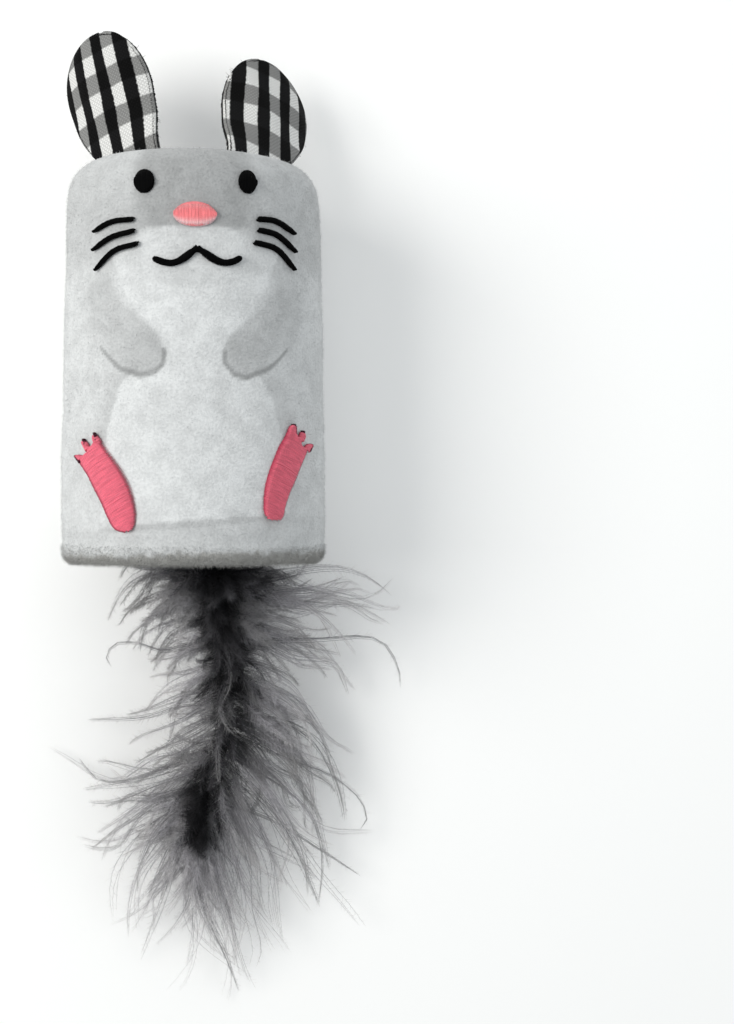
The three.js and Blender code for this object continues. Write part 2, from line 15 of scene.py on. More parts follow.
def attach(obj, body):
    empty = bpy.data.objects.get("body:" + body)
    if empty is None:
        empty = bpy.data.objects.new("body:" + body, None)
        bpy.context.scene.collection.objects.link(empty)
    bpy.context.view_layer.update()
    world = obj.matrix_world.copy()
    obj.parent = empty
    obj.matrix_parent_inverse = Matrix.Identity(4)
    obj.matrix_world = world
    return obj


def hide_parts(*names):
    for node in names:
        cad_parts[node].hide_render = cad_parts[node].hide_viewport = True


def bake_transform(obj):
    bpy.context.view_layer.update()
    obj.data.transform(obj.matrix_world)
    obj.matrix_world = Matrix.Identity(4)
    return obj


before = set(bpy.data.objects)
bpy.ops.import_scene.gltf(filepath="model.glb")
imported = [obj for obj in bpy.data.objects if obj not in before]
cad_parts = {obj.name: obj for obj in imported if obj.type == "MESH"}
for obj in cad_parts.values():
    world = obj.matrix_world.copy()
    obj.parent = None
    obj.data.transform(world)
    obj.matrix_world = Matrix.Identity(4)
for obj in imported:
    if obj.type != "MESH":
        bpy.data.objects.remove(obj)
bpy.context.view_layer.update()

LOG = logging.getLogger("catnip_mouse")
MM = 0.001  # a millimetre, in metres
UV_EDGE = 0.002  # keeps UV places off the border of their map
EAR_MAP = 40.0  # millimetres of gingham across an ear's map
Colour = tuple[float, float, float]
Place = tuple[float, float, float]
Pair = tuple[float, float]
Part = tuple[np.ndarray, np.ndarray, np.ndarray]


class Rides(str, Enum):
    """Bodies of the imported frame."""

    BODY = "body"
    LEFT_EAR = "left_ear"
    RIGHT_EAR = "right_ear"
    TAIL_ROOT = "tail_root"
    TAIL = "tail"


class Slot(str, Enum):
    """Material slots of the record."""

    PLUSH = "plush"
    PANEL = "panel_plush"
    GINGHAM = "gingham"
    BLACK = "black_stitch"
    PINK = "pink_stitch"
    MARABOU = "marabou"
    TAIL_THREAD = "tail_thread"


class Side(Enum):
    """Which side, as seen from above."""

    LEFT = -1
    RIGHT = 1


# Small maths


def smooth(x: np.ndarray, low: float, high: float) -> np.ndarray:
    """Smooth step from 0 at low to 1 at high, which may lie below low."""
    t = np.clip((x - low) / (high - low), 0, 1)
    return t * t * (3 - 2 * t)


def spline(points: Sequence[Sequence[float]], count: int) -> np.ndarray:
    """Smooth line through points.

    Args:
        points: Points to pass through.
        count: How many points to give, evenly spaced along the line.

    Returns:
        The line's points, one to a row.
    """
    p = np.asarray(points, float)
    p = np.vstack([2 * p[0] - p[1], p, 2 * p[-1] - p[-2]])
    fine = []
    for a, b, c, d in zip(p[:-3], p[1:-2], p[2:-1], p[3:]):
        t = np.linspace(0, 1, 24, endpoint=False)[:, None]
        fine.append(
            0.5 * (2 * b + (c - a) * t + (2 * a - 5 * b + 4 * c - d) * t**2 + (3 * b - a - 3 * c + d) * t**3)
        )
    line = np.vstack([*fine, p[-2:-1]])
    far = np.concatenate([[0], np.cumsum(np.linalg.norm(np.diff(line, axis=0), axis=1))])
    at = np.linspace(0, far[-1], count)
    return np.stack([np.interp(at, far, line[:, k]) for k in range(line.shape[1])], 1)


def unit(v: np.ndarray) -> np.ndarray:
    """Rows of v, made one long."""
    return v / np.maximum(np.linalg.norm(v, axis=-1, keepdims=True), 1e-12)


def off_line(x: np.ndarray, y: np.ndarray, line: np.ndarray) -> np.ndarray:
    """Distance of points from a drawn line.

    Args:
        x: First coordinates of the points.
        y: Second coordinates of the points.
        line: Points of the line, one to a row.

    Returns:
        Each point's distance from the line.
    """
    best = np.full(x.shape, 1e9)
    for (ax, ay), (bx, by) in zip(line[:-1], line[1:]):
        dx, dy = bx - ax, by - ay
        t = np.clip(((x - ax) * dx + (y - ay) * dy) / (dx * dx + dy * dy), 0, 1)
        best = np.minimum(best, np.hypot(x - ax - t * dx, y - ay - t * dy))
    return best


def grain(s: np.ndarray, y: np.ndarray, scale: Pair, layer: float) -> np.ndarray:
    """Smooth noise over the cloth at distances round and places along it, from -1 to 1."""
    return np.array([noise.noise((a * scale[0], b * scale[1], layer)) for a, b in zip(s, y)])


def laid(z: np.ndarray, floor: np.ndarray | float, soft: float, reach: float) -> np.ndarray:
    """Heights, softly kept over the floor; those further over it than reach are left alone."""
    over = z - floor
    return floor + np.where(over > reach, over, soft * np.logaddexp(0, over / soft))


# Meshes


def piece_from(name: str, points: np.ndarray, triangles: np.ndarray, uv: np.ndarray) -> bpy.types.Object:
    """Piece of triangles with its own UV map, under the names strand and OFBake.

    Args:
        name: Name of the piece.
        points: Points in millimetres.
        triangles: Three point numbers to a row.
        uv: One UV place to each point.

    Returns:
        The new object, smooth shaded.
    """
    me = bpy.data.meshes.new(name)
    me.vertices.add(len(points))
    me.vertices.foreach_set("co", (points * MM).astype(np.float32).ravel())
    me.loops.add(triangles.size)
    me.loops.foreach_set("vertex_index", triangles.astype(np.int32).ravel())
    me.polygons.add(len(triangles))
    me.polygons.foreach_set("loop_start", np.arange(0, triangles.size, 3, dtype=np.int32))
    me.update(calc_edges=True)
    me.validate()
    for layer in ("strand", "OFBake"):
        me.uv_layers.new(name=layer).uv.foreach_set("vector", uv[triangles.ravel()].astype(np.float32).ravel())
    me.shade_smooth()
    return object_of(name, me)


def joined(*parts: Part) -> Part:
    """Puts parts together.

    Args:
        parts: Points, triangles and UV places of each.

    Returns:
        Points, triangles and UV places of the whole.
    """
    points, triangles, uv = zip(*parts)
    first = np.cumsum([0, *map(len, points)])
    return np.vstack(points), np.vstack([t + k for t, k in zip(triangles, first)]), np.vstack(uv)


def object_of(name: str, mesh: bpy.types.Mesh) -> bpy.types.Object:
    """Puts a mesh in the scene, at the origin.

    Args:
        name: Name of the piece.
        mesh: Its mesh.

    Returns:
        The new object.
    """
    obj = bpy.data.objects.new(name, mesh)
    bpy.context.scene.collection.objects.link(obj)
    return obj


def object_from(name: str, bm: bmesh.types.BMesh) -> bpy.types.Object:
    """Turns a bmesh in millimetres into a smooth-shaded object, and frees it.

    Args:
        name: Name of the piece.
        bm: The bmesh.

    Returns:
        The new object.
    """
    bmesh.ops.scale(bm, vec=(MM, MM, MM), verts=bm.verts)
    me = bpy.data.meshes.new(name)
    bm.to_mesh(me)
    bm.free()
    me.shade_smooth()
    return object_of(name, me)


def column_of(items: Sequence, name: str, width: int, kind: type = np.float32) -> np.ndarray:
    """Reads one property of all of a mesh's elements.

    Args:
        items: The elements.
        name: The property.
        width: Numbers to an element.
        kind: Their type.

    Returns:
        The numbers, a row to each element.
    """
    flat = np.empty(len(items) * width, kind)
    items.foreach_get(name, flat)
    return flat.reshape(-1, width)


def points_of(me: bpy.types.Mesh) -> np.ndarray:
    """Points of a mesh in millimetres."""
    return column_of(me.vertices, "co", 3).astype(float) / MM


def set_points(me: bpy.types.Mesh, points: np.ndarray) -> None:
    """Moves a mesh's points to places in millimetres."""
    me.vertices.foreach_set("co", (points * MM).astype(np.float32).ravel())
    me.update()


def arrays_of(bm: bmesh.types.BMesh) -> tuple[np.ndarray, np.ndarray]:
    """Takes the points and triangles out of a bmesh, and frees it.

    Args:
        bm: The bmesh, of triangles.

    Returns:
        Its points, and three point numbers to a row.
    """
    bm.verts.index_update()
    points = np.array([v.co for v in bm.verts], float)
    triangles = np.array([[v.index for v in f.verts] for f in bm.faces], int)
    bm.free()
    return points, triangles


def form_of(node: str) -> tuple[np.ndarray, np.ndarray]:
    """Form of a CAD node, with its doubles merged.

    Args:
        node: Its name.

    Returns:
        Points in millimetres, and triangles.
    """
    bm = bmesh.new()
    bm.from_mesh(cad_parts[node].data)
    bmesh.ops.remove_doubles(bm, verts=bm.verts, dist=1e-6)
    bmesh.ops.triangulate(bm, faces=bm.faces)
    points, triangles = arrays_of(bm)
    return points / MM, triangles


def settled(obj: bpy.types.Object) -> bpy.types.Object:
    """Applies an object's modifiers to its mesh.

    Args:
        obj: The object.

    Returns:
        The same object, with no modifiers.
    """
    dg = bpy.context.evaluated_depsgraph_get()
    me = bpy.data.meshes.new_from_object(obj.evaluated_get(dg), preserve_all_data_layers=True, depsgraph=dg)
    obj.modifiers.clear()
    obj.data = me
    me.shade_smooth()
    return obj


def paint(obj: bpy.types.Object, colours: np.ndarray) -> None:
    """Writes a colour to each point of a piece, for its finish to read.

    Args:
        obj: The piece.
        colours: Red, green and blue to a row, linear.
    """
    a = obj.data.attributes.new("print", "FLOAT_COLOR", "POINT")
    rgba = np.ones((len(colours), 4), np.float32)
    rgba[:, :3] = colours
    a.data.foreach_set("color", rgba.ravel())


@dataclass(frozen=True)
class Strand:
    """A tapering thread or hair that is swept along many lines at once."""

    sides: int = 3
    steps: int = 6
    tint_spread: float = 0.006

    def template(self) -> tuple[np.ndarray, np.ndarray]:
        """One straight strand of length 1, made by extruding a small polygon to a point.

        Returns:
            Its points, with the way along it third, and its triangles.
        """
        bm = bmesh.new()
        bmesh.ops.create_circle(bm, cap_ends=True, segments=self.sides, radius=1)
        top = bm.faces[:][0]
        for k in range(1, self.steps + 1):
            new = bmesh.ops.extrude_face_region(bm, geom=[top])["geom"]
            verts = [g for g in new if isinstance(g, bmesh.types.BMVert)]
            bmesh.ops.translate(bm, verts=verts, vec=(0, 0, 1 / self.steps))
            top = next(g for g in new if isinstance(g, bmesh.types.BMFace))
            if k == self.steps:
                bmesh.ops.pointmerge(bm, verts=verts, merge_co=(0, 0, 1))
        bmesh.ops.triangulate(bm, faces=bm.faces)
        bmesh.ops.recalc_face_normals(bm, faces=bm.faces)
        return arrays_of(bm)

    def sweep(self, lines: np.ndarray, radii: np.ndarray, tint: np.ndarray) -> Part:
        """Copies the strand along lines.

        Args:
            lines: Lines of steps + 1 points each, in millimetres.
            radii: The radius at each of those points.
            tint: First UV coordinate of each strand; the second is the way along it.

        Returns:
            Points, triangles and UV places, to make a mesh from.
        """
        shape, faces = self.template()
        ring = np.rint(shape[:, 2] * self.steps).astype(int)
        ahead = unit(np.gradient(lines, axis=1))
        ref = np.where(np.abs(ahead[..., 2:3]) > 0.9, [[[1.0, 0, 0]]], [[[0, 0, 1.0]]])
        across = unit(np.cross(ahead, ref))
        up = np.cross(across, ahead)
        r = radii[:, ring, None]
        points = lines[:, ring] + r * (
            shape[None, :, 0:1] * across[:, ring] + shape[None, :, 1:2] * up[:, ring]
        )
        n, v = len(lines), len(shape)
        triangles = faces[None] + (np.arange(n) * v)[:, None, None]
        uv = np.empty((n, v, 2))
        uv[..., 0] = np.clip(tint[:, None] + self.tint_spread * shape[None, :, 0], UV_EDGE, 1 - UV_EDGE)
        uv[..., 1] = UV_EDGE + (1 - 2 * UV_EDGE) * shape[None, :, 2]
        return points.reshape(-1, 3), triangles.reshape(-1, 3), uv.reshape(-1, 2)


# Finishes


class Nodes:
    """Short ways to add nodes to a shader tree."""

    def __init__(self, tree: bpy.types.NodeTree) -> None:
        """Takes the tree to add to."""
        self.tree = tree

    def add(self, kind: str, **settings: object) -> bpy.types.Node:
        """Adds a node.

        Args:
            kind: Its type.
            settings: Properties to set, and inputs to set or link, by name with _ for a space.

        Returns:
            The node.
        """
        node = self.tree.nodes.new(kind)
        for key, value in settings.items():
            if hasattr(node, key):
                setattr(node, key, value)
            else:
                self.give(node, **{key: value})
        return node

    def give(self, node: bpy.types.Node, **inputs: object) -> None:
        """Sets or links a node's inputs, by name with _ for a space."""
        for key, value in inputs.items():
            self.feed(node.inputs[key.replace("_", " ")], value)

    def feed(self, socket: bpy.types.NodeSocket, value: object) -> None:
        """Links or sets an input, as the value asks."""
        if isinstance(value, bpy.types.NodeSocket):
            self.tree.links.new(value, socket)
        else:
            socket.default_value = value

    def maths(self, operation: str, *values: object) -> bpy.types.NodeSocket:
        """Math node.

        Args:
            operation: What it does.
            values: Its inputs, numbers or sockets.

        Returns:
            Its output.
        """
        node = self.tree.nodes.new("ShaderNodeMath")
        node.operation = operation
        for socket, value in zip(node.inputs, values):
            self.feed(socket, value)
        return node.outputs[0]

    def fade(
        self, value: object, low: float, high: float, to_low: float = 0.0, to_high: float = 1.0
    ) -> bpy.types.NodeSocket:
        """Smooth Map Range node.

        Args:
            value: What it reads.
            low: Start of the input's range.
            high: End of the input's range.
            to_low: What it gives at the start.
            to_high: What it gives at the end.

        Returns:
            Its output.
        """
        node = self.add("ShaderNodeMapRange", interpolation_type="SMOOTHSTEP")
        for socket, v in zip(node.inputs, (value, low, high, to_low, to_high)):
            self.feed(socket, v)
        return node.outputs[0]

    def mix(self, share: object, a: object, b: object, blend: str = "MIX") -> bpy.types.NodeSocket:
        """Colour Mix node.

        Args:
            share: Share of the second colour.
            a: First colour.
            b: Second colour.
            blend: How they mix.

        Returns:
            The colour.
        """
        node = self.tree.nodes.new("ShaderNodeMix")
        node.data_type = "RGBA"
        node.blend_type = blend
        for socket, v in ((node.inputs[0], share), (node.inputs[6], a), (node.inputs[7], b)):
            self.feed(socket, (*v, 1) if isinstance(v, tuple) and len(v) == 3 else v)
        return node.outputs[2]

    def speckle(self, vector: object, scale: object, detail: float = 2.0) -> bpy.types.NodeSocket:
        """Noise texture's value, at coordinates, with a scale and a number of finer layers."""
        node = self.add("ShaderNodeTexNoise", Vector=vector, Scale=scale, Detail=detail)
        return node.outputs["Fac"]

    def bump(self, height: object, strength: float, distance: float) -> bpy.types.NodeSocket:
        """Normal from a Bump node; a height of 1 stands for the distance, in metres."""
        node = self.add("ShaderNodeBump", Strength=strength, Distance=distance, Height=height)
        return node.outputs[0]

    def strand_map(self) -> tuple[bpy.types.NodeSocket, bpy.types.NodeSocket, bpy.types.NodeSocket]:
        """The piece's own map, the way across it and the way along it.

        Returns:
            The three sockets.
        """
        uv = self.add("ShaderNodeUVMap", uv_map="strand").outputs[0]
        split = self.add("ShaderNodeSeparateXYZ", Vector=uv).outputs
        return uv, split[0], split[1]


def node_group(
    name: str, inputs: dict[str, str], outputs: dict[str, str], wire: Callable[[Nodes, dict], dict]
) -> bpy.types.NodeTree:
    """Shader node group, built once.

    Args:
        name: Its name.
        inputs: Socket types of its inputs, by name.
        outputs: Socket types of its outputs, by name.
        wire: Makes the nodes from the input sockets and gives the output sockets.

    Returns:
        The group.
    """
    if name in bpy.data.node_groups:
        return bpy.data.node_groups[name]
    tree = bpy.data.node_groups.new(name, "ShaderNodeTree")
    for label, kind in inputs.items():
        tree.interface.new_socket(label, in_out="INPUT", socket_type=kind)
    for label, kind in outputs.items():
        tree.interface.new_socket(label, in_out="OUTPUT", socket_type=kind)
    enter, leave = tree.nodes.new("NodeGroupInput"), tree.nodes.new("NodeGroupOutput")
    made = wire(Nodes(tree), {s.name: s for s in enter.outputs if s.name})
    for label, socket in made.items():
        tree.links.new(socket, leave.inputs[label])
    return tree


VALUE, VECTOR = "NodeSocketFloat", "NodeSocketVector"


def nap_group() -> bpy.types.NodeTree:
    """Nap of brushed cloth: soft clouds of light and dark, and the bumps of the pile."""

    def wire(n: Nodes, given: dict) -> dict:
        """Joins cloudy and fine noise."""
        cloud = n.speckle(given["Place"], given["Clouds"], 3.0)
        fine = n.speckle(given["Place"], given["Pile"], 2.0)
        both = n.maths("ADD", n.maths("MULTIPLY", cloud, 0.55), n.maths("MULTIPLY", fine, 0.45))
        return {"Shade": n.fade(both, 0.33, 0.67), "Height": fine}

    return node_group(
        "nap", {"Place": VECTOR, "Clouds": VALUE, "Pile": VALUE}, {"Shade": VALUE, "Height": VALUE}, wire
    )


def weave_group() -> bpy.types.NodeTree:
    """Plain weave: threads that pass over and under each other."""

    def wire(n: Nodes, given: dict) -> dict:
        """Two waves, in step where a thread lies on top."""
        split = n.add("ShaderNodeSeparateXYZ", Vector=given["Place"])
        turn = [n.maths("MULTIPLY", split.outputs[k], given["Threads"]) for k in (0, 1)]
        over = [n.maths("SINE", n.maths("MULTIPLY", t, math.pi)) for t in turn]
        both = n.maths("MULTIPLY", over[0], over[1])
        ridge = [n.maths("ABSOLUTE", o) for o in over]
        height = n.maths("ADD", n.maths("MULTIPLY", both, 0.5), n.maths("MULTIPLY", n.maths("ADD", *ridge), 0.4))
        return {"Height": height, "Shade": n.fade(height, -0.2, 0.9, 0.55, 1.0)}

    return node_group("weave", {"Place": VECTOR, "Threads": VALUE}, {"Height": VALUE, "Shade": VALUE}, wire)


def twist_group() -> bpy.types.NodeTree:
    """Ply of a sewing thread: slanting grooves round and along it."""

    def wire(n: Nodes, given: dict) -> dict:
        """A wave on the slant."""
        split = n.add("ShaderNodeSeparateXYZ", Vector=given["Place"]).outputs
        along = n.maths("MULTIPLY", split[1], given["Turns"])
        slant = n.maths("ADD", along, n.maths("MULTIPLY", split[0], 160.0))
        wave = n.maths("SINE", n.maths("MULTIPLY", slant, 2 * math.pi))
        return {"Height": wave, "Shade": n.fade(wave, -1.0, 1.0, 0.72, 1.0)}

    return node_group("twist", {"Place": VECTOR, "Turns": VALUE}, {"Height": VALUE, "Shade": VALUE}, wire)


@dataclass(frozen=True)
class Finish:
    """A material by name; each kind of finish wires its own nodes."""

    name: str

    def material(self) -> bpy.types.Material:
        """The material, made once.

        Returns:
            The material.
        """
        name = self.name + "_finish"
        found = bpy.data.materials.get(name)
        if found:
            return found
        mat = bpy.data.materials.new(name)
        mat.use_nodes = True
        mat.node_tree.nodes.clear()
        n = Nodes(mat.node_tree)
        shader = n.add("ShaderNodeBsdfPrincipled")
        out = n.add("ShaderNodeOutputMaterial")
        mat.node_tree.links.new(shader.outputs[0], out.inputs["Surface"])
        self.wire(n, shader)
        return mat

    def wire(self, n: Nodes, shader: bpy.types.Node) -> None:
        """Feeds the shader."""
        raise NotImplementedError

    def dress(self, *pieces: bpy.types.Object) -> None:
        """Puts the finish on pieces."""
        for piece in pieces:
            piece.data.materials.clear()
            piece.data.materials.append(self.material())


@dataclass(frozen=True)
class PlushFinish(Finish):
    """Short velour whose print, and the painted shade round the hem, is the piece's own point colours."""

    clouds: float = 260.0
    pile: float = 1900.0
    depth: float = 0.12
    sheen: float = 0.1
    bump: float = 0.3

    def wire(self, n: Nodes, shader: bpy.types.Node) -> None:
        """Print and the painted hem shade, clouded by the nap, with the pile as bumps."""
        place = n.add("ShaderNodeTexCoord").outputs["Object"]
        nap = n.add("ShaderNodeGroup", node_tree=nap_group(), Place=place, Clouds=self.clouds, Pile=self.pile)
        ink = n.add("ShaderNodeAttribute", attribute_name="print").outputs["Color"]
        dark = n.mix(1.0, ink, (1 - self.depth,) * 3, "MULTIPLY")
        light = n.mix(1.0, ink, (1 + self.depth * 0.8,) * 3, "MULTIPLY")
        n.give(
            shader,
            Base_Color=n.mix(nap.outputs["Shade"], dark, light),
            Roughness=n.fade(nap.outputs["Shade"], 0.0, 1.0, 0.98, 0.86),
            Normal=n.bump(nap.outputs["Height"], self.bump, 0.0006),
            Sheen_Weight=self.sheen,
            Sheen_Roughness=0.6,
            Specular_IOR_Level=0.2,
        )


@dataclass(frozen=True)
class GinghamFinish(Finish):
    """Woven check: black and white stripes crossed by white and grey rows."""

    stripe: float = 2.8
    row: float = 4.4
    threads: float = 2.4
    wobble: float = 0.5
    soft: float = 0.16
    black: Colour = (0.003, 0.003, 0.003)
    soot: Colour = (0.008, 0.008, 0.0085)
    grey: Colour = (0.28, 0.28, 0.275)
    white: Colour = (0.80, 0.80, 0.785)

    def wire(self, n: Nodes, shader: bpy.types.Node) -> None:
        """Check from the cloth's own map, in millimetres, with its weave."""
        uv = n.add("ShaderNodeUVMap", uv_map="strand").outputs[0]
        flat = n.add("ShaderNodeMapping", Vector=uv, Scale=(EAR_MAP, EAR_MAP, 1)).outputs[0]
        uneven = n.maths("MULTIPLY", n.maths("SUBTRACT", n.speckle(flat, 1.6, 2.0), 0.5), self.wobble)
        split = n.add("ShaderNodeSeparateXYZ", Vector=flat).outputs
        bands = []
        for socket, size in ((split[0], self.stripe), (split[1], self.row)):
            wave = n.maths("SINE", n.maths("MULTIPLY", n.maths("ADD", socket, uneven), math.pi / size))
            bands.append(n.fade(wave, -self.soft, self.soft))
        weave = n.add("ShaderNodeGroup", node_tree=weave_group(), Place=flat, Threads=self.threads)
        dark = n.mix(bands[1], self.black, self.soot)
        pale = n.mix(bands[1], self.grey, self.white)
        vary = n.fade(n.speckle(flat, 5.0), 0.25, 0.75, 0.86, 1.06)
        shade = n.maths("MULTIPLY", weave.outputs["Shade"], vary)
        n.give(
            shader,
            Base_Color=n.mix(1.0, n.mix(bands[0], dark, pale), shade, "MULTIPLY"),
            Roughness=n.fade(weave.outputs["Height"], -0.3, 1.0, 0.95, 0.78),
            Normal=n.bump(weave.outputs["Height"], 0.45, 0.00012),
            Sheen_Weight=0.0,
            Specular_IOR_Level=0.08,
        )


@dataclass(frozen=True)
class ThreadFinish(Finish):
    """Embroidery or sewing thread, of another colour where it dives into the cloth: darker ends there are painted
    shade, with the needle holes, and pale ends a painted highlight.
    """

    colour: Colour = (0.002, 0.002, 0.0022)
    ends: Colour = (0.001, 0.001, 0.001)
    far: Colour | None = None
    turns: float = 14.0
    rough: Pair = (0.87, 0.72)
    gloss: float = 0.05
    edge: float = 0.16

    def wire(self, n: Nodes, shader: bpy.types.Node) -> None:
        """Colour along and between the threads, with their twist."""
        uv, _, along = n.strand_map()
        twist = n.add("ShaderNodeGroup", node_tree=twist_group(), Place=uv, Turns=self.turns)
        # painted shade: the thread darkens towards its ends, for the shade and needle holes where it dives in; pale
        # ends paint a highlight instead
        body = n.mix(n.fade(along, 0.0, self.edge), self.ends, self.colour)
        body = n.mix(n.fade(along, 1.0 - self.edge, 1.0), body, self.far or self.ends)
        fine = n.add("ShaderNodeMapping", Vector=uv, Scale=(60, 3, 1)).outputs[0]
        vary = n.fade(n.speckle(fine, 1.0), 0.3, 0.7, 0.86, 1.1)
        shade = n.maths("MULTIPLY", twist.outputs["Shade"], vary)
        n.give(
            shader,
            Base_Color=n.mix(1.0, body, shade, "MULTIPLY"),
            Roughness=n.fade(twist.outputs["Height"], -1.0, 1.0, *self.rough),
            Normal=n.bump(twist.outputs["Height"], 0.4, 0.00004),
            Sheen_Weight=0.0,
            Specular_IOR_Level=self.gloss,
        )


@dataclass(frozen=True)
class MarabouFinish(Finish):
    """Dyed down: near black at the quill, from its dye and from painted shade deep in the feather, grey along the
    barb, pale and thin at its tip.
    """

    root: Colour = (0.012, 0.0115, 0.014)
    middle: Colour = (0.25, 0.243, 0.26)
    tip: Colour = (0.46, 0.447, 0.45)
    sheen: float = 0.2

    def wire(self, n: Nodes, shader: bpy.types.Node) -> None:
        """Colour along each barb, lighter or darker from barb to barb."""
        _, tint, along = n.strand_map()
        inner = n.mix(n.fade(along, 0.04, 0.42), self.root, self.middle)
        outer = n.mix(n.fade(along, 0.4, 1.0), inner, self.tip)
        n.give(
            shader,
            Base_Color=n.mix(1.0, outer, n.fade(tint, 0.0, 1.0, 0.55, 1.5), "MULTIPLY"),
            Roughness=n.fade(along, 0.0, 1.0, 0.62, 0.85),
            Sheen_Weight=self.sheen,
            Specular_IOR_Level=0.2,
        )


@dataclass(frozen=True)
class FloorFinish(Finish):
    """Plain pale studio surface."""

    colour: Colour = (0.97, 0.97, 0.965)
    lift: float = 0.04

    def wire(self, n: Nodes, shader: bpy.types.Node) -> None:
        """One pale colour, fully rough, and a little lighter to the eye than to the toy."""
        path = n.add("ShaderNodeLightPath").outputs
        mirrored = n.maths("MAXIMUM", path["Is Glossy Ray"], path["Is Transmission Ray"])
        seen = n.maths("MAXIMUM", path["Is Camera Ray"], mirrored)
        n.give(
            shader,
            Base_Color=(*self.colour, 1),
            Roughness=1.0,
            Specular_IOR_Level=0.0,
            Emission_Strength=n.maths("MULTIPLY", seen, self.lift),
            Emission_Color=(1, 1, 1, 1),
        )


def place_piece(
    obj: bpy.types.Object, finish: Finish, body: Rides | None, replaces: Sequence[str] = ()
) -> bpy.types.Object:
    """Dresses a piece, hides the CAD nodes that it stands for and hangs it on the body that it moves with.

    Args:
        obj: The piece.
        finish: Its finish.
        body: The body it rides on, or None.
        replaces: CAD nodes that it stands for.

    Returns:
        The piece.
    """
    finish.dress(obj)
    if body is not None:
        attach(obj, body.value)
    if replaces:
        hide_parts(*replaces)
    return obj


# Body


@dataclass(frozen=True)
class FacePrint:
    """What is printed on the plush, by distance round from the middle of the face and place along the body."""

    side: float = 0.60
    band: float = 0.53
    front: float = 0.665
    arm: float = 0.50
    paw: float = 0.475
    head: float = 0.50
    mask: float = 0.365
    muzzle: float = 0.62
    outline: float = 0.27
    fold: float = 0.44
    below: float = 0.56
    tint: Colour = (0.985, 1.003, 1.01)
    arm_line: tuple[Pair, ...] = ((22.5, 15.0), (19.0, 7.0), (11.2, 0.1))
    paw_at: Pair = (11.2, 0.1)
    muzzle_at: float = 19.0
    muzzle_size: Pair = (15.5, 6.4)
    fold_at: Pair = (-34.3, 0.07)
    front_edge: tuple[Pair, ...] = (
        (23.0, 20.0), (17.4, 17.0), (11.4, 14.6), (7.8, 11.8), (2.8, 6.8), (-1.0, 5.6),
        (-6.2, 15.4), (-12.0, 17.7), (-16.0, 19.0), (-24.0, 20.0), (-34.0, 20.5),
    )
    paw_line: tuple[Pair, ...] = (
        (21.0, 1.2), (18.4, -1.2), (15.7, -3.3), (11.0, -5.0), (7.9, -4.4), (6.2, -2.2), (6.0, -0.2),
    )

    def tones(self, s: np.ndarray, y: np.ndarray) -> np.ndarray:
        """How light the printed cloth is.

        Args:
            s: Distances round from the middle of the face.
            y: Places along the body.

        Returns:
            Lightness, linear.
        """
        wob = grain(s, y, (0.35, 0.35), 3.1) * 0.5
        a = np.abs(s) + wob
        b = y + wob
        tone = np.full(s.shape, self.side)

        def lay(value: float, mask: np.ndarray) -> None:
            """Prints one tone over what is there."""
            nonlocal tone
            tone = tone + (value - tone) * mask

        edge = np.interp(-b, [-p[0] for p in self.front_edge], [p[1] for p in self.front_edge])
        near = smooth(a - edge, 7.0, 0.5) * smooth(a - edge, -0.5, 0.3)
        lay(self.band, near * smooth(b, -26.0, -14.0) * smooth(b, 2.0, -4.0))
        lay(self.head, smooth(b, 14.0, 22.0))
        lay(self.front, smooth(a - edge, 0.35, -0.35) * smooth(b, -35.0, -33.6) * smooth(b, 22.5, 19.0))
        arm = off_line(a, b, np.array(self.arm_line))
        reach = np.interp(b, (0.0, 9.0, 15.0), (5.0, 4.6, 3.6))
        soft = np.interp(a, (14.0, 20.0), (0.35, 3.2))
        lay(self.arm, smooth((arm - reach) / soft, 1.0, -1.0) * smooth(b, 19.0, 12.0))
        paw = np.hypot(a - self.paw_at[0], b - self.paw_at[1])
        lay(self.paw, smooth(paw, 5.2, 3.4) * smooth(a, 15.5, 12.5))
        muzzle = np.hypot(a / self.muzzle_size[0], (b - self.muzzle_at) / self.muzzle_size[1])
        lay(self.muzzle, smooth(muzzle, 1.05, 0.92))
        lay(self.mask, smooth(a, 14.5, 9.0) * smooth(b, 24.2, 25.4))
        stroke = off_line(a, b, np.array(self.paw_line))
        thin = np.interp(a, (5.8, 8.0, 15.0, 21.0), (0.42, 0.5, 0.5, 0.25))
        lay(self.outline, 0.85 * smooth(stroke - thin, 0.32, -0.25))
        line = self.fold_at[0] + self.fold_at[1] * np.clip(s, -20, 20)
        lay(self.below, smooth(b - line, 0.3, -0.4) * smooth(b, -40.0, -37.5))
        thick = np.interp(s, (-16.0, -8.0, 2.0, 16.0), (0.35, 0.5, 0.8, 0.35))
        lay(self.fold, 0.75 * smooth(np.abs(b - line) - thick, 0.4, -0.25) * smooth(a, 23.0, 17.0))
        return tone

    def colours(self, s: np.ndarray, y: np.ndarray) -> np.ndarray:
        """Printed colours, a row to each place."""
        return self.tones(s, y)[:, None] * np.array(self.tint)


@dataclass(frozen=True)
class Swelling:
    """How the stuffing presses the sleeve out, in a cloth simulation at a larger size."""

    scale: float = 10.0
    pressure: float = 10.0
    stretch: float = 3.0
    bend: float = 2.0
    quality: int = 5
    frames: int = 20
    cap: float = 0.5


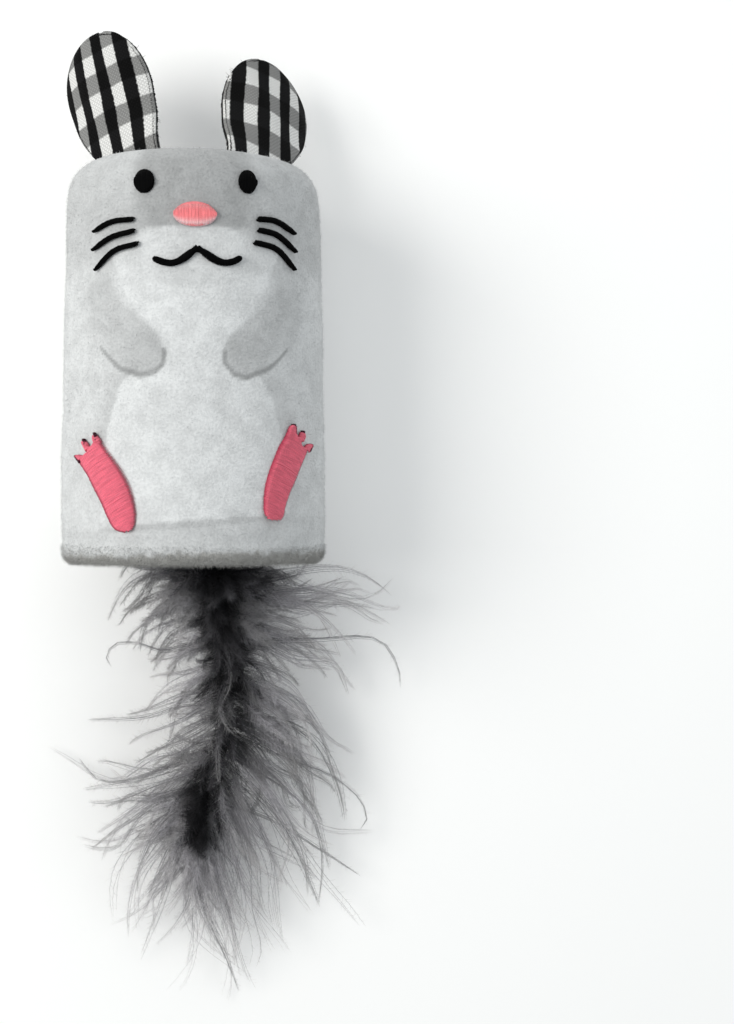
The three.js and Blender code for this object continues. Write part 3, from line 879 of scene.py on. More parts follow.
@dataclass
class PlushBody:
    """The stuffed roll: sleeve, crown, base and hem, with their pile."""

    length: float = 83.0
    head_radius: float = 26.9
    base_radius: float = 28.2
    swell: float = 0.35
    rest_height: float = 25.9
    shoulder: float = 5.0
    crown_radius: float = 20.6
    crown_rise: float = 2.5
    base_rise: float = 0.8
    hem_radius: float = 2.2
    hem_draw: float = 0.45
    hem_lap: float = 0.7
    hem_gap: float = 0.3
    hem_shift: float = 0.2
    hem_tall: float = 0.25
    seam_depth: float = 3.2
    tail_hole: Place = (3.8, 25.9, 3.4)
    floor_gap: float = 0.05
    floor_soft: float = 1.2
    floor_reach: float = 6.0
    lumps: tuple[Pair, ...] = ((0.075, 0.28), (0.25, 0.08))
    levels: int = 2
    sleeve_steps: int = 96
    panel_steps: int = 72
    # painted shade: a darker grey for the rolled hem and for the sleeve where it turns under it, standing for the
    # shade under the roll
    hem_shade_colour: Colour = (0.35, 0.346, 0.332)
    swelling: Swelling = Swelling()
    print: FacePrint = field(default_factory=FacePrint)
    finish: PlushFinish = PlushFinish("plush")
    pile_finish: PlushFinish = PlushFinish("plush_pile", clouds=300.0, bump=0.0, depth=0.16)

    @property
    def crown_y(self) -> float:
        """Place of the crown seam."""
        return self.length / 2

    @property
    def base_y(self) -> float:
        """Place of the base seam."""
        return -self.length / 2

    @property
    def sleeve_end(self) -> float:
        """Where the sleeve meets the hem."""
        return self.base_y + 2 * self.hem_radius - self.hem_lap

    @property
    def hem_ring(self) -> float:
        """Radius of the ring that the hem is rolled round."""
        return self.base_radius - self.hem_radius - self.hem_draw

    @property
    def hem_y(self) -> float:
        """Middle of the roll, along the body."""
        return self.sleeve_end - self.hem_gap - self.hem_radius

    def radius(self, y: np.ndarray) -> np.ndarray:
        """Radius of the sleeve at places along the body."""
        t = np.clip((y - self.sleeve_end) / (self.crown_y - self.shoulder - self.sleeve_end), 0, 1)
        return self.base_radius + (self.head_radius - self.base_radius) * t + self.swell * np.sin(np.pi * t)

    def on_sleeve(self, s: np.ndarray, y: np.ndarray, height: np.ndarray) -> np.ndarray:
        """Points over the sleeve.

        Args:
            s: Distances round from the middle of the face.
            y: Places along the body.
            height: Heights over the cloth.

        Returns:
            Points in millimetres, in the last axis.
        """
        r = self.radius(y)
        a = s / r
        return np.stack([(r + height) * np.sin(a), y, self.rest_height + (r + height) * np.cos(a)], -1)

    def lie_down(self, points: np.ndarray) -> np.ndarray:
        """Flattens what would sink into the surface that the toy lies on."""
        p = points.copy()
        p[:, 2] = laid(p[:, 2], self.floor_gap, self.floor_soft, self.floor_reach)
        return p

    def turned(self, name: str, profile: Sequence[Pair], steps: int) -> bpy.types.Object:
        """Turns a profile about the body's axis, front of the cloth outward.

        Args:
            name: Name of the piece.
            profile: Radius and place along the body, from the base towards the crown.
            steps: Steps in a full turn.

        Returns:
            The new object, with a cloth map that is open along the back.
        """
        bm = bmesh.new()
        line = [bm.verts.new((0, y, -r)) for r, y in profile]
        for a, b in zip(line[:-1], line[1:]):
            bm.edges.new((a, b))
        bmesh.ops.spin(
            bm, geom=bm.verts[:] + bm.edges[:], cent=(0, 0, 0), axis=(0, 1, 0), dvec=(0, 0, 0),
            angle=2 * math.pi, steps=steps, use_merge=True, use_duplicate=False,
        )
        bmesh.ops.remove_doubles(bm, verts=bm.verts, dist=1e-4)
        bmesh.ops.recalc_face_normals(bm, faces=bm.faces)
        far = np.concatenate([[0], np.cumsum([math.dist(a, b) for a, b in zip(profile[:-1], profile[1:])])])
        where = {(round(r, 3), round(y, 3)): d / far[-1] for (r, y), d in zip(profile, far)}
        cloth, bake = bm.loops.layers.uv.new("strand"), bm.loops.layers.uv.new("OFBake")
        for f in bm.faces:
            mid = f.calc_center_median()
            middle = math.atan2(mid.x, mid.z)
            for loop in f.loops:
                co = loop.vert.co
                r = math.hypot(co.x, co.z)
                a = math.atan2(co.x, co.z) if r > 1e-3 else middle
                a += 2 * math.pi * round((middle - a) / (2 * math.pi))
                key = (round(r, 3), round(co.y, 3))
                v = where.get(key)
                if v is None:
                    v = where[min(where, key=lambda k: math.dist(k, key))]
                along = UV_EDGE + (1 - 2 * UV_EDGE) * v
                loop[cloth].uv = loop[bake].uv = (0.5 + a / (2 * math.pi), along)
        bmesh.ops.translate(bm, verts=bm.verts, vec=(0, 0, self.rest_height))
        return object_from(name, bm)

    def swollen(self, obj: bpy.types.Object, held: np.ndarray) -> None:
        """Lets the stuffing press the cloth out.

        Args:
            obj: The piece, before subdivision.
            held: Which points are held by a seam.
        """
        how = self.swelling
        start = points_of(obj.data)
        me = obj.data.copy()
        set_points(me, start * how.scale)
        copy = object_of("swelling", me)
        group = copy.vertex_groups.new(name="held")
        group.add(np.flatnonzero(held).tolist(), 1.0, "REPLACE")
        cloth = copy.modifiers.new("swelling", "CLOTH")
        cloth.settings.quality = how.quality
        cloth.settings.use_pressure = True
        cloth.settings.uniform_pressure_force = how.pressure
        cloth.settings.tension_stiffness = how.stretch
        cloth.settings.compression_stiffness = how.stretch
        cloth.settings.bending_stiffness = how.bend
        cloth.settings.vertex_group_mass = "held"
        cloth.settings.effector_weights.gravity = 0
        cloth.collision_settings.use_collision = False
        scene = bpy.context.scene
        for k in range(how.frames):
            scene.frame_set(k + 1)
        dg = bpy.context.evaluated_depsgraph_get()
        moved = points_of(copy.evaluated_get(dg).to_mesh()) / how.scale - start
        far = np.linalg.norm(moved, axis=1, keepdims=True)
        moved *= np.minimum(1, how.cap / np.maximum(far, 1e-9))
        set_points(obj.data, start + moved.round(2))
        bpy.data.objects.remove(copy)
        scene.frame_set(1)
        LOG.info("%s swelled by up to %.2f mm", obj.name, float(far.max()))

    def subdivided(self, obj: bpy.types.Object) -> None:
        """Subdivides a piece smoothly and lays it on the surface, a little uneven from its stuffing."""
        sub = obj.modifiers.new("smooth", "SUBSURF")
        sub.levels = sub.render_levels = self.levels
        settled(obj)
        p = points_of(obj.data)
        axis = p - np.array([0, 0, self.rest_height])
        axis[:, 1] = 0
        lump = sum(np.array([noise.noise(Vector(q) * fine) for q in p]) * deep for fine, deep in self.lumps)
        set_points(obj.data, self.lie_down(p + unit(axis) * lump[:, None]))

    def rounds(self, obj: bpy.types.Object) -> tuple[np.ndarray, np.ndarray]:
        """Distance round and place along the body of each point of a piece."""
        p = points_of(obj.data)
        a = np.arctan2(p[:, 0], p[:, 2] - self.rest_height)
        return a * self.radius(p[:, 1]), p[:, 1]

    def round_hem(self, angles: Sequence[float], over: float = 0.0) -> list[Pair]:
        """Profile round the rolled hem.

        Args:
            angles: Angles round the roll, from its outer side.
            over: Height over the hem's own cloth.

        Returns:
            Radius and place along the body, for each angle.
        """
        r = self.hem_radius + over
        tall, middle = r + self.hem_tall, self.hem_y + self.hem_shift
        return [(self.hem_ring + r * math.cos(a), middle + tall * math.sin(a)) for a in angles]

    def sleeve(self) -> bpy.types.Object:
        """Sleeve with its shoulder, turned in at the crown seam and drawn round the hem.

        Returns:
            The piece.
        """
        top = self.crown_y - self.shoulder
        side = np.linspace(self.sleeve_end, top, 37)
        profile = self.round_hem(np.radians((-78, -60, -42, -24, -8, 10)), over=0.12)
        slack = 0.3 + 0.25 * np.sin(np.pi * np.linspace(0, 1, len(side)))
        profile += [(float(r), float(y)) for r, y in zip(self.radius(side) - slack, side)]
        ring = self.head_radius - self.shoulder
        for a in np.linspace(0, math.pi / 2, 7)[1:]:
            profile.append((ring - 0.3 + self.shoulder * math.cos(a), top - 0.2 + self.shoulder * math.sin(a)))
        edge, seam = self.crown_radius + 0.55, self.crown_y
        profile += [(edge + 0.1, seam - 0.5), (edge, seam - 1.6), (edge, seam - self.seam_depth)]
        obj = self.turned("body_sleeve_cloth", profile, self.sleeve_steps)
        p = points_of(obj.data)
        r = np.hypot(p[:, 0], p[:, 2] - self.rest_height)
        self.swollen(obj, (p[:, 1] < self.sleeve_end + 0.5) | (r < edge + 2.5))
        self.subdivided(obj)
        s, y = self.rounds(obj)
        # painted shade: below the middle of the roll the sleeve fades to the hem's shade colour; from a little left
        # of the face's middle rightward it reaches 0.7 mm higher, a painted tail shadow
        ragged = y + 0.9 * grain(s, y, (0.8, 0.5), 5.0) - 0.7 * smooth(s, -14.0, 0.0)
        under = smooth(ragged, self.hem_y + 0.1, self.hem_y - 1.2)[:, None]
        paint(obj, self.print.colours(s, y) * (1 - under) + np.array(self.hem_shade_colour) * under)
        return obj

    def crown(self) -> bpy.types.Object:
        """Domed crown panel, turned in at its seam.

        Returns:
            The piece.
        """
        edge, seam = self.crown_radius, self.crown_y
        rows = [(edge - 0.1, seam - self.seam_depth), (edge, seam - 1.6), (edge - 0.1, seam - 0.55)]
        for r in np.linspace(edge - 0.6, 0, 15):
            rows.append((float(r), seam - 0.3 + self.crown_rise * (1 - (r / edge) ** 2)))
        obj = self.turned("crown_cloth", rows, self.panel_steps)
        self.subdivided(obj)
        front = smooth(points_of(obj.data)[:, 2] - self.rest_height, -4.0, 14.0)
        tone = self.print.head + (self.print.mask + 0.05 - self.print.head) * front
        paint(obj, tone[:, None] * np.array(self.print.tint))
        return obj

    def base(self) -> bpy.types.Object:
        """Base panel inside the hem.

        Returns:
            The piece.
        """
        edge = self.base_radius - 2 * self.hem_radius - 0.2
        rows = []
        for r in np.linspace(0, edge, 14):
            rows.append((float(r), self.base_y - self.base_rise * (1 - (r / edge) ** 2)))
        rows += [(edge + 0.15, self.base_y + 0.7), (edge, self.base_y + 2.0)]
        obj = self.turned("base_cloth", rows, self.panel_steps)
        self.subdivided(obj)
        tone = np.full((len(obj.data.vertices), 1), self.print.side - 0.03)
        paint(obj, tone * np.array(self.print.tint))
        return obj

    def hem(self) -> bpy.types.Object:
        """Rolled hem round the base.

        Returns:
            The piece.
        """
        rows = self.round_hem(np.linspace(-math.pi, math.pi, 17))
        rows[-1] = rows[0]
        obj = self.turned("hem_roll", rows, self.sleeve_steps)
        self.subdivided(obj)
        s, y = self.rounds(obj)
        # painted shade: the whole roll is painted in the hem's shade colour, with a little random tone
        tone = 1 + 0.1 * grain(s, y, (0.3, 1.0), 7.0)
        paint(obj, tone[:, None] * np.array(self.hem_shade_colour))
        return obj

    def build(self) -> list[bpy.types.Object]:
        """Makes and dresses the cloth pieces and their pile.

        Returns:
            The pieces.
        """
        inside = ["back_seam_thread", "stuffing_core", "stuffing_plug", "catnip_pouch", "pouch_tie", "dried_catnip"]
        sleeve = place_piece(self.sleeve(), self.finish, Rides.BODY, ["body_sleeve", *inside])
        crown = place_piece(self.crown(), self.finish, Rides.BODY, ["crown_panel", "crown_seam_thread"])
        base = place_piece(self.base(), self.finish, Rides.BODY, ["base_panel", "base_seam_thread"])
        hem = place_piece(self.hem(), self.finish, Rides.BODY, ["base_hem"])
        pile = Pile(self.pile_finish)
        return [
            sleeve,
            crown,
            base,
            hem,
            pile.grow("sleeve_pile", sleeve, count=42000, length=0.7),
            pile.grow("crown_pile", crown, count=7000, length=0.75),
            pile.grow("base_pile", base, count=8000, length=0.8, bare=self.tail_hole),
            pile.grow("hem_pile", hem, count=24000, length=1.2),
            pile.grow("fringe_pile", sleeve, count=7000, length=1.2, below=self.sleeve_end - 1.0),
        ]


@dataclass
class Pile:
    """Short fibres that stand on a cloth piece and take its point colour, print and painted hem shade, painted a
    little lighter.
    """

    finish: Finish
    radius: float = 0.034
    stand: float = 0.55
    scatter: float = 0.38
    fall: float = 0.45
    sunk: float = 0.12
    clear: float = 0.6
    lengths: Pair = (0.55, 1.0)
    # painted light: fibres are painted up to a fifth lighter than their cloth, to make up for the shade on their own
    # far sides
    lights: Pair = (1.02, 1.2)
    uv_size: Pair = (4e-4, -3e-4)
    seed: int = 11

    def in_order(self, points: np.ndarray, tri: np.ndarray, loops: np.ndarray) -> tuple[np.ndarray, np.ndarray]:
        """Puts triangles in the order of their places, so that every run picks the same ones.

        Args:
            points: Points of the mesh.
            tri: Three point numbers to a row.
            loops: Three loop numbers to a row.

        Returns:
            The point numbers and the loop numbers, in order.
        """
        first = np.argmin((points[tri] @ np.array([0.37, 1.0, 0.61])).round(2), axis=1)
        turn = (first[:, None] + np.arange(3)) % 3
        tri, loops = (np.take_along_axis(rows, turn, 1) for rows in (tri, loops))
        order = np.lexsort(points[tri].mean(1).round(2).T)
        return tri[order], loops[order]

    def grow(
        self,
        name: str,
        host: bpy.types.Object,
        count: int,
        length: float,
        below: float = math.inf,
        bare: Place = (0.0, 0.0, 0.0),
    ) -> bpy.types.Object:
        """Grows fibres all over a piece.

        Args:
            name: Name of the new piece.
            host: The cloth piece.
            count: How many fibres.
            length: Length of the longest.
            below: Fibres stand only below this place along the body.
            bare: Middle across and up, and radius, of a ring that stays bare.

        Returns:
            The piece of fibres, which rides with the cloth.
        """
        rng = np.random.default_rng(self.seed + count)
        me = host.data
        me.calc_loop_triangles()
        p = points_of(me)
        corners = [column_of(me.loop_triangles, what, 3, np.int32) for what in ("vertices", "loops")]
        tri, loops = self.in_order(p, *corners)
        a, b, c = (p[tri[:, k]] for k in range(3))
        area = np.linalg.norm(np.cross(b - a, c - a), axis=1)
        area *= (a[:, 2] > self.clear) & (a[:, 1] < below)
        area *= np.hypot(a[:, 0] - bare[0], a[:, 2] - bare[1]) >= bare[2]
        pick = rng.choice(len(tri), count, p=area / area.sum())
        share = rng.dirichlet((1, 1, 1), count)

        def at(values: np.ndarray, numbers: np.ndarray) -> np.ndarray:
            """Values at the fibres' roots, from those at the corners of their triangles."""
            return np.einsum("nk,nkd->nd", share, values[numbers[pick]])

        root = at(p, tri)
        out = unit(at(column_of(me.vertices, "normal", 3), tri))
        colour = at(column_of(me.attributes["print"].data, "color", 4), tri)[:, :3]
        cloth = at(column_of(me.uv_layers["strand"].uv, "vector", 2), loops)
        lean = unit(out * self.stand + rng.normal(0, self.scatter, (count, 3)) + np.array([0, -self.fall, 0]))
        reach = length * rng.uniform(*self.lengths, count)
        lines = np.stack([root - self.sunk * out, root + lean * reach[:, None]], 1)
        radii = np.repeat(np.array([[self.radius, 0.0]]), count, 0)
        points, triangles, _ = Strand(3, 1).sweep(lines, radii, np.full(count, 0.5))
        each = len(points) // count
        apart = np.linspace(-1, 1, each)[:, None] * np.array([self.uv_size])
        uv = np.clip(np.repeat(cloth, each, 0) + np.tile(apart, (count, 1)), 0.001, 0.999)
        obj = piece_from(name, points, triangles, uv)
        # painted light: each fibre takes its cloth's colour, made lighter
        light = rng.uniform(*self.lights, (count, 1))
        paint(obj, np.repeat(colour * light, each, 0))
        return place_piece(obj, self.finish, Rides.BODY)


# Embroidery


@dataclass
class Embroidery:
    """Satin stitches on the sleeve; the face is measured down from the crown seam, the feet up from the base."""

    body: PlushBody
    pitch: float = 0.27
    thread: float = 0.19
    height: float = 0.82
    dip: float = 0.12
    press: float = 0.1
    sink: float = 0.22
    steps: int = 6
    left_eye: tuple[float, ...] = (-10.1, 7.8, 4.1, 4.7)
    right_eye: tuple[float, ...] = (10.8, 7.4, 3.7, 4.7)
    nose: tuple[float, ...] = (0.1, 14.5, 8.4, 5.0)
    mouth_width: Pair = (1.25, 0.85)
    whisker_width: Pair = (1.05, 0.4)
    toe_width: Pair = (0.85, 0.6)
    foot_leans: Pair = (-27, 24)
    smiles: tuple[tuple[Pair, ...], ...] = (
        ((-7.9, 23.3), (-6.2, 24.0), (-4.2, 24.2), (-1.8, 23.2), (0.4, 21.2)),
        ((9.2, 23.0), (7.4, 23.9), (5.2, 24.1), (2.9, 23.2), (0.6, 21.2)),
    )
    whiskers: tuple[tuple[str, tuple[Pair, ...]], ...] = (
        ("left_whisker_top", ((-12.4, 15.4), (-17.6, 15.5), (-22.3, 16.9))),
        ("left_whisker_middle", ((-12.2, 17.7), (-17.6, 18.6), (-22.6, 20.6))),
        ("left_whisker_bottom", ((-11.4, 20.3), (-16.9, 21.4), (-21.8, 24.7))),
        ("right_whisker_top", ((13.0, 14.6), (17.6, 14.6), (22.8, 16.4))),
        ("right_whisker_middle", ((13.2, 16.8), (17.8, 17.4), (23.1, 20.1))),
        ("right_whisker_bottom", ((12.3, 19.4), (17.7, 20.3), (22.7, 23.8))),
    )
    soles: tuple[tuple[Pair, ...], ...] = (
        (
            (-14.5, 5.5), (-12.9, 5.9), (-11.9, 7.1), (-11.6, 9.7), (-12.3, 13.2), (-13.3, 15.6), (-14.9, 18.2),
            (-16.8, 20.4), (-18.5, 22.2), (-20.0, 24.0), (-21.5, 25.0), (-22.4, 24.4), (-22.3, 23.3), (-23.1, 22.7),
            (-24.2, 23.7), (-25.2, 24.0), (-25.8, 23.3), (-24.9, 22.1), (-24.5, 21.2), (-25.5, 21.0), (-27.0, 21.1),
            (-28.1, 20.7), (-27.0, 19.3), (-24.6, 17.2), (-22.3, 14.2), (-20.1, 11.2), (-18.2, 7.9), (-16.7, 6.1),
        ),
        (
            (16.9, 7.8), (18.8, 7.8), (19.7, 8.8), (20.1, 10.3), (21.4, 13.1), (23.2, 15.8), (25.2, 18.9),
            (27.2, 21.6), (28.7, 22.9), (27.6, 23.5), (26.5, 23.3), (25.5, 22.6), (25.0, 23.4), (25.9, 24.8),
            (25.2, 25.7), (24.3, 25.7), (23.7, 24.7), (23.2, 25.2), (22.9, 26.4), (21.9, 27.1), (21.0, 26.7),
            (19.9, 24.9), (18.3, 22.8), (16.7, 19.8), (15.5, 17.1), (14.7, 14.2), (14.4, 11.2), (14.6, 9.3),
            (15.6, 8.1),
        ),
    )
    toes: tuple[tuple[tuple[Pair, Pair], ...], ...] = (
        (((-21.7, 25.3), (-21.1, 23.7)), ((-25.1, 24.2), (-24.3, 22.6)), ((-28.0, 20.9), (-26.5, 19.7))),
        (((22.2, 27.3), (22.4, 25.6)), ((25.1, 26.0), (24.9, 24.4)), ((28.4, 23.3), (27.2, 22.1))),
    )
    plum: ThreadFinish = ThreadFinish("plum_stitch", colour=(0.09, 0.028, 0.042), ends=(0.05, 0.018, 0.026))
    black: ThreadFinish = ThreadFinish("black_stitch")
    pink: ThreadFinish = ThreadFinish(
        "pink_stitch", colour=(0.97, 0.2, 0.28), ends=(0.5, 0.06, 0.11), edge=0.14, gloss=0.25
    )
    # painted highlight: the nose's threads are pale pink at their lower ends
    coral: ThreadFinish = ThreadFinish(
        "coral_stitch", colour=(0.98, 0.27, 0.29), ends=(1.0, 0.72, 0.74), far=(0.95, 0.42, 0.43),
        edge=0.4, gloss=0.25,
    )

    def oval(self, x: float, y: float, wide: float, high: float) -> np.ndarray:
        """Outline of an oval, as points round it."""
        a = np.linspace(0, 2 * np.pi, 48, endpoint=False)
        return np.stack([x + wide / 2 * np.sin(a), y + high / 2 * np.cos(a)], 1)

    def fill(self, outline: np.ndarray, slant: float) -> np.ndarray:
        """Threads side by side across an outline.

        Args:
            outline: Points round it.
            slant: Direction of the threads, in degrees from across the body.

        Returns:
            Start and end of each thread.
        """
        c, s = math.cos(math.radians(slant)), math.sin(math.radians(slant))
        turn = np.array([[c, s], [-s, c]])
        q = outline @ turn.T
        ends = []
        for v in np.arange(q[:, 1].min() + 0.1, q[:, 1].max() - 0.05, self.pitch):
            cuts = []
            for (ax, ay), (bx, by) in zip(q, np.roll(q, -1, 0)):
                if (ay > v) != (by > v):
                    cuts.append(ax + (v - ay) / (by - ay) * (bx - ax))
            cuts.sort()
            for lo, hi in zip(cuts[::2], cuts[1::2]):
                if hi - lo > 0.25:
                    ends.append(((lo, v), (hi, v)))
        return np.array(ends) @ turn

    def column(self, points: Sequence[Pair], width: float, taper: float) -> np.ndarray:
        """Threads across a line, one after another.

        Args:
            points: The line, on the sleeve.
            width: Width of the line.
            taper: Share of the width that is left at its far end.

        Returns:
            Start and end of each thread.
        """
        rough = spline(points, 60)
        long = float(np.linalg.norm(np.diff(rough, axis=0), axis=1).sum())
        line = spline(points, max(4, round(long / self.pitch)))
        ahead = unit(np.gradient(line, axis=0))
        across = unit(np.stack([-ahead[:, 1], ahead[:, 0]], 1) + 0.35 * ahead)
        t = np.linspace(0, 1, len(line))
        start, end = np.clip(np.sqrt(t * 30), 0.7, 1), np.clip(np.sqrt((1 - t) * 5), taper, 1)
        half = width / 2 * np.minimum(start, end)[:, None]
        return np.stack([line - across * half, line + across * half], 1)

    def stitched(
        self, node: str, ends: np.ndarray, finish: ThreadFinish, padded: bool = True
    ) -> bpy.types.Object:
        """One stitched piece: its padding and the threads over it.

        Args:
            node: The CAD node that it stands for, and its own name with _stitch.
            ends: Start and end of each thread.
            finish: Its finish.
            padded: Whether the threads lie over the CAD node's own form.

        Returns:
            The piece.
        """
        rng = np.random.default_rng(len(ends))
        t = np.linspace(0, 1, self.steps + 1)
        flat = ends[:, 0:1] + (ends[:, 1:2] - ends[:, 0:1]) * t[None, :, None]
        flat = flat + rng.normal(0, 0.02, (len(ends), 1, 2))
        full = np.clip(1 - np.abs(2 * t - 1) ** 3.2, 0, 1)
        high = self.height * (self.dip + (1 - self.dip) * full) - self.press
        lift = np.repeat(high[None], len(ends), 0) + rng.normal(0, 0.025, (len(ends), 1))
        lines = self.body.on_sleeve(flat[..., 0], flat[..., 1], lift)
        radii = np.full(lines.shape[:2], self.thread)
        part = Strand(5, self.steps).sweep(lines, radii, rng.uniform(0.02, 0.98, len(ends)))
        if padded:
            pad, under = form_of(node)
            part = joined(part, (self.sunk(pad), under, 0.5 + rng.uniform(-0.03, 0.03, (len(pad), 2))))
        obj = piece_from(node + "_stitch", *part)
        return place_piece(obj, finish, Rides.BODY, [node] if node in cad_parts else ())

    def sunk(self, points: np.ndarray) -> np.ndarray:
        """Padding brought in towards the cloth, so that the threads lie over it."""
        out = points - np.array([0, 0, self.body.rest_height])
        out[:, 1] = 0
        return points - unit(out) * self.sink

    def build(self) -> list[bpy.types.Object]:
        """Makes the face and the feet.

        Returns:
            The stitched pieces.
        """
        top, low = self.body.crown_y, self.body.base_y
        made = []
        ovals = (
            ("left_eye", self.left_eye, self.black, Slot.BLACK),
            ("right_eye", self.right_eye, self.black, Slot.BLACK),
            ("nose", self.nose, self.coral, Slot.PINK),
        )
        for node, (x, drop, wide, high), finish, slot in ovals:
            ends = self.fill(self.oval(x, top - drop, wide, high), 90)
            made.append(self.stitched(node, ends, finish))
        halves = [self.column([(x, top - drop) for x, drop in half], *self.mouth_width) for half in self.smiles]
        made.append(self.stitched("mouth", np.vstack(halves), self.black))
        for node, points in self.whiskers:
            ends = self.column([(x, top - drop) for x, drop in points], *self.whisker_width)
            made.append(self.stitched(node, ends, self.black))
        for node, lean, sole, toes in zip(("left_foot", "right_foot"), self.foot_leans, self.soles, self.toes):
            outline = spline([*sole, sole[0]], 220)[:-1] + np.array([0, low])
            made.append(self.stitched(node, self.fill(outline, -lean), self.pink, padded=False))
            tips = [self.column([(x, low + y) for x, y in toe], *self.toe_width) for toe in toes]
            made.append(self.stitched(node + "_tips", np.vstack(tips), self.plum, padded=False))
        return made


# Ears


@dataclass
class Ear:
    """A gingham ear: two cupped plies, whipped together round the edge and sewn through the crown."""

    side: Side
    turn: float
    tilt: float
    lean: float
    shift: Pair
    rows_fall: float
    stripe: float = 3.0
    row: float = 4.35
    height: float = 27.0
    width: float = 23.0
    foot_width: float = 16.5
    tab_width: float = 11.0
    widest: float = 0.55
    foot: float = 4.0
    cup: float = 24.0
    sway: float = 3.4
    ply: float = 0.45
    offset: float = 10.0
    aside: float = 9.8
    fold_y: float = 43.745
    rest_height: float = 25.9
    middle: float = 0.4
    map_from: Pair = (20.0, 12.0)
    bake_from: Pair = (20.0, 8.0)
    whips: int = 230
    whip_radius: float = 0.19
    whip_depth: float = 0.4125
    whip_slant: float = 0.22
    whip_height: float = 0.62
    fray_count: int = 34
    fray_radius: float = 0.06
    fray_length: Pair = (0.4, 1.3)
    whip: ThreadFinish = ThreadFinish(
        "ear_whipping", colour=(0.02, 0.02, 0.021), ends=(0.01, 0.01, 0.01), turns=3.0
    )
    fray: ThreadFinish = ThreadFinish("ear_frays", colour=(0.12, 0.12, 0.12), ends=(0.05, 0.05, 0.05), turns=3.0)

    @property
    def label(self) -> str:
        """Left or right, in small letters."""
        return self.side.name.lower()

    @property
    def frame(self) -> Matrix:
        """From the ear's own frame, fold at the origin, to the toy's, in millimetres."""
        return (
            Matrix.Translation((0, 0, self.rest_height))
            @ Matrix.Rotation(math.radians(self.turn), 4, "Y")
            @ Matrix.Translation((self.side.value * self.aside, self.fold_y, self.offset))
            @ Matrix.Rotation(math.radians(self.tilt), 4, "X")
        )

    def swayed(self, y: np.ndarray) -> np.ndarray:
        """How far the ear's middle bows outwards at heights over its fold."""
        up = np.clip(y / self.height, 0, 1)
        return self.side.value * self.sway * 4 * up * (1 - up)

    def half_width(self, y: np.ndarray) -> np.ndarray:
        """Half the ear's width at heights over its fold."""
        widest = self.height * self.widest
        low = np.clip((widest - y) / widest, 0, 1.25)
        high = np.clip((y - widest) / (self.height - widest), 0, 1)
        below = self.width / 2 - (self.width - self.foot_width) / 2 * low**2
        return np.where(y < widest, below, self.width / 2 * np.sqrt(np.maximum(1 - high**2, 0)))

    def bent(self, x: np.ndarray, y: np.ndarray, face: float) -> np.ndarray:
        """Places in the toy's frame for places on the flat ear.

        Args:
            x: Across the ear.
            y: Over its fold.
            face: 1 for the front ply, -1 for the back and 0 for the edge.

        Returns:
            Points in millimetres.
        """
        half = np.maximum(self.half_width(y), 0.4)
        edge = np.clip(np.abs(x) / half, 0, 1)
        tip = np.clip((y - self.height * self.widest) / (self.height * (1 - self.widest)), 0, 1)
        rim = np.maximum(edge, tip)
        fade = smooth(y, 0.0, self.height * 0.4)
        z = face * (0.14 + 0.36 * (1 - rim**5)) - fade * x * x / (2 * self.cup)
        z += 0.25 * np.sin(x * 0.55 + y * 0.23) * smooth(y, 3.0, 12.0) * (1 - rim**4)
        bow = np.clip(y, 0, self.height) * math.tan(math.radians(self.lean)) + self.swayed(y)
        p = np.stack([x + bow, y, z, np.ones_like(x)], -1)
        return (p @ np.array(self.frame).T)[..., :3]

    def leaf(self, face: float) -> tuple[bpy.types.Object, float]:
        """One ply, from its sewn-in foot to its tip.

        Args:
            face: 1 for the front ply and -1 for the back.

        Returns:
            The piece and the area that it was cut from, in square metres.
        """
        bm = bmesh.new()
        bmesh.ops.create_grid(bm, x_segments=30, y_segments=48, size=1)
        bmesh.ops.recalc_face_normals(bm, faces=bm.faces)
        cloth, bake = bm.loops.layers.uv.new("strand"), bm.loops.layers.uv.new("OFBake")
        co = np.array([v.co for v in bm.verts], float)
        t = np.sin(np.pi / 2 * (co[:, 1] + 1) / 2)
        y = -self.foot + (self.height + self.foot) * t
        tab = np.interp(y, (-2.0, 0.0), (self.tab_width, self.foot_width)) / 2
        half = np.where(y < 0, tab, self.half_width(y))
        x = co[:, 0] * np.maximum(half, 0.5)
        where = self.bent(x, y, face)
        across = x + self.swayed(y) + self.shift[0]
        up = y + self.rows_fall * x + self.shift[1]
        check = (np.stack([across, up], 1) + np.array(self.map_from)) / EAR_MAP
        plain = (np.stack([x, y], 1) + np.array(self.bake_from)) / EAR_MAP
        bm.verts.index_update()
        for f in bm.faces:
            for loop in f.loops:
                loop[cloth].uv = check[loop.vert.index]
                loop[bake].uv = plain[loop.vert.index]
        for v, p in zip(bm.verts, where):
            v.co = p
        if face < 0:
            bmesh.ops.reverse_faces(bm, faces=bm.faces)
        area = sum(f.calc_area() for f in bm.faces) * MM * MM
        name = f"{self.label}_ear_{'front' if face > 0 else 'back'}_ply"
        obj = object_from(name, bm)
        wall = obj.modifiers.new("ply", "SOLIDIFY")
        wall.thickness = self.ply * MM
        wall.offset = 1
        return settled(obj), area

    def outline(self, count: int) -> np.ndarray:
        """Points round the ear's edge on the flat, from the fold on one side to the fold on the other."""
        y = self.height * np.sin(np.linspace(0.0, np.pi / 2, count // 2))
        x = np.maximum(self.half_width(y), 0.2)
        return np.vstack([np.stack([-x, y], 1), np.stack([x, y], 1)[::-1]])

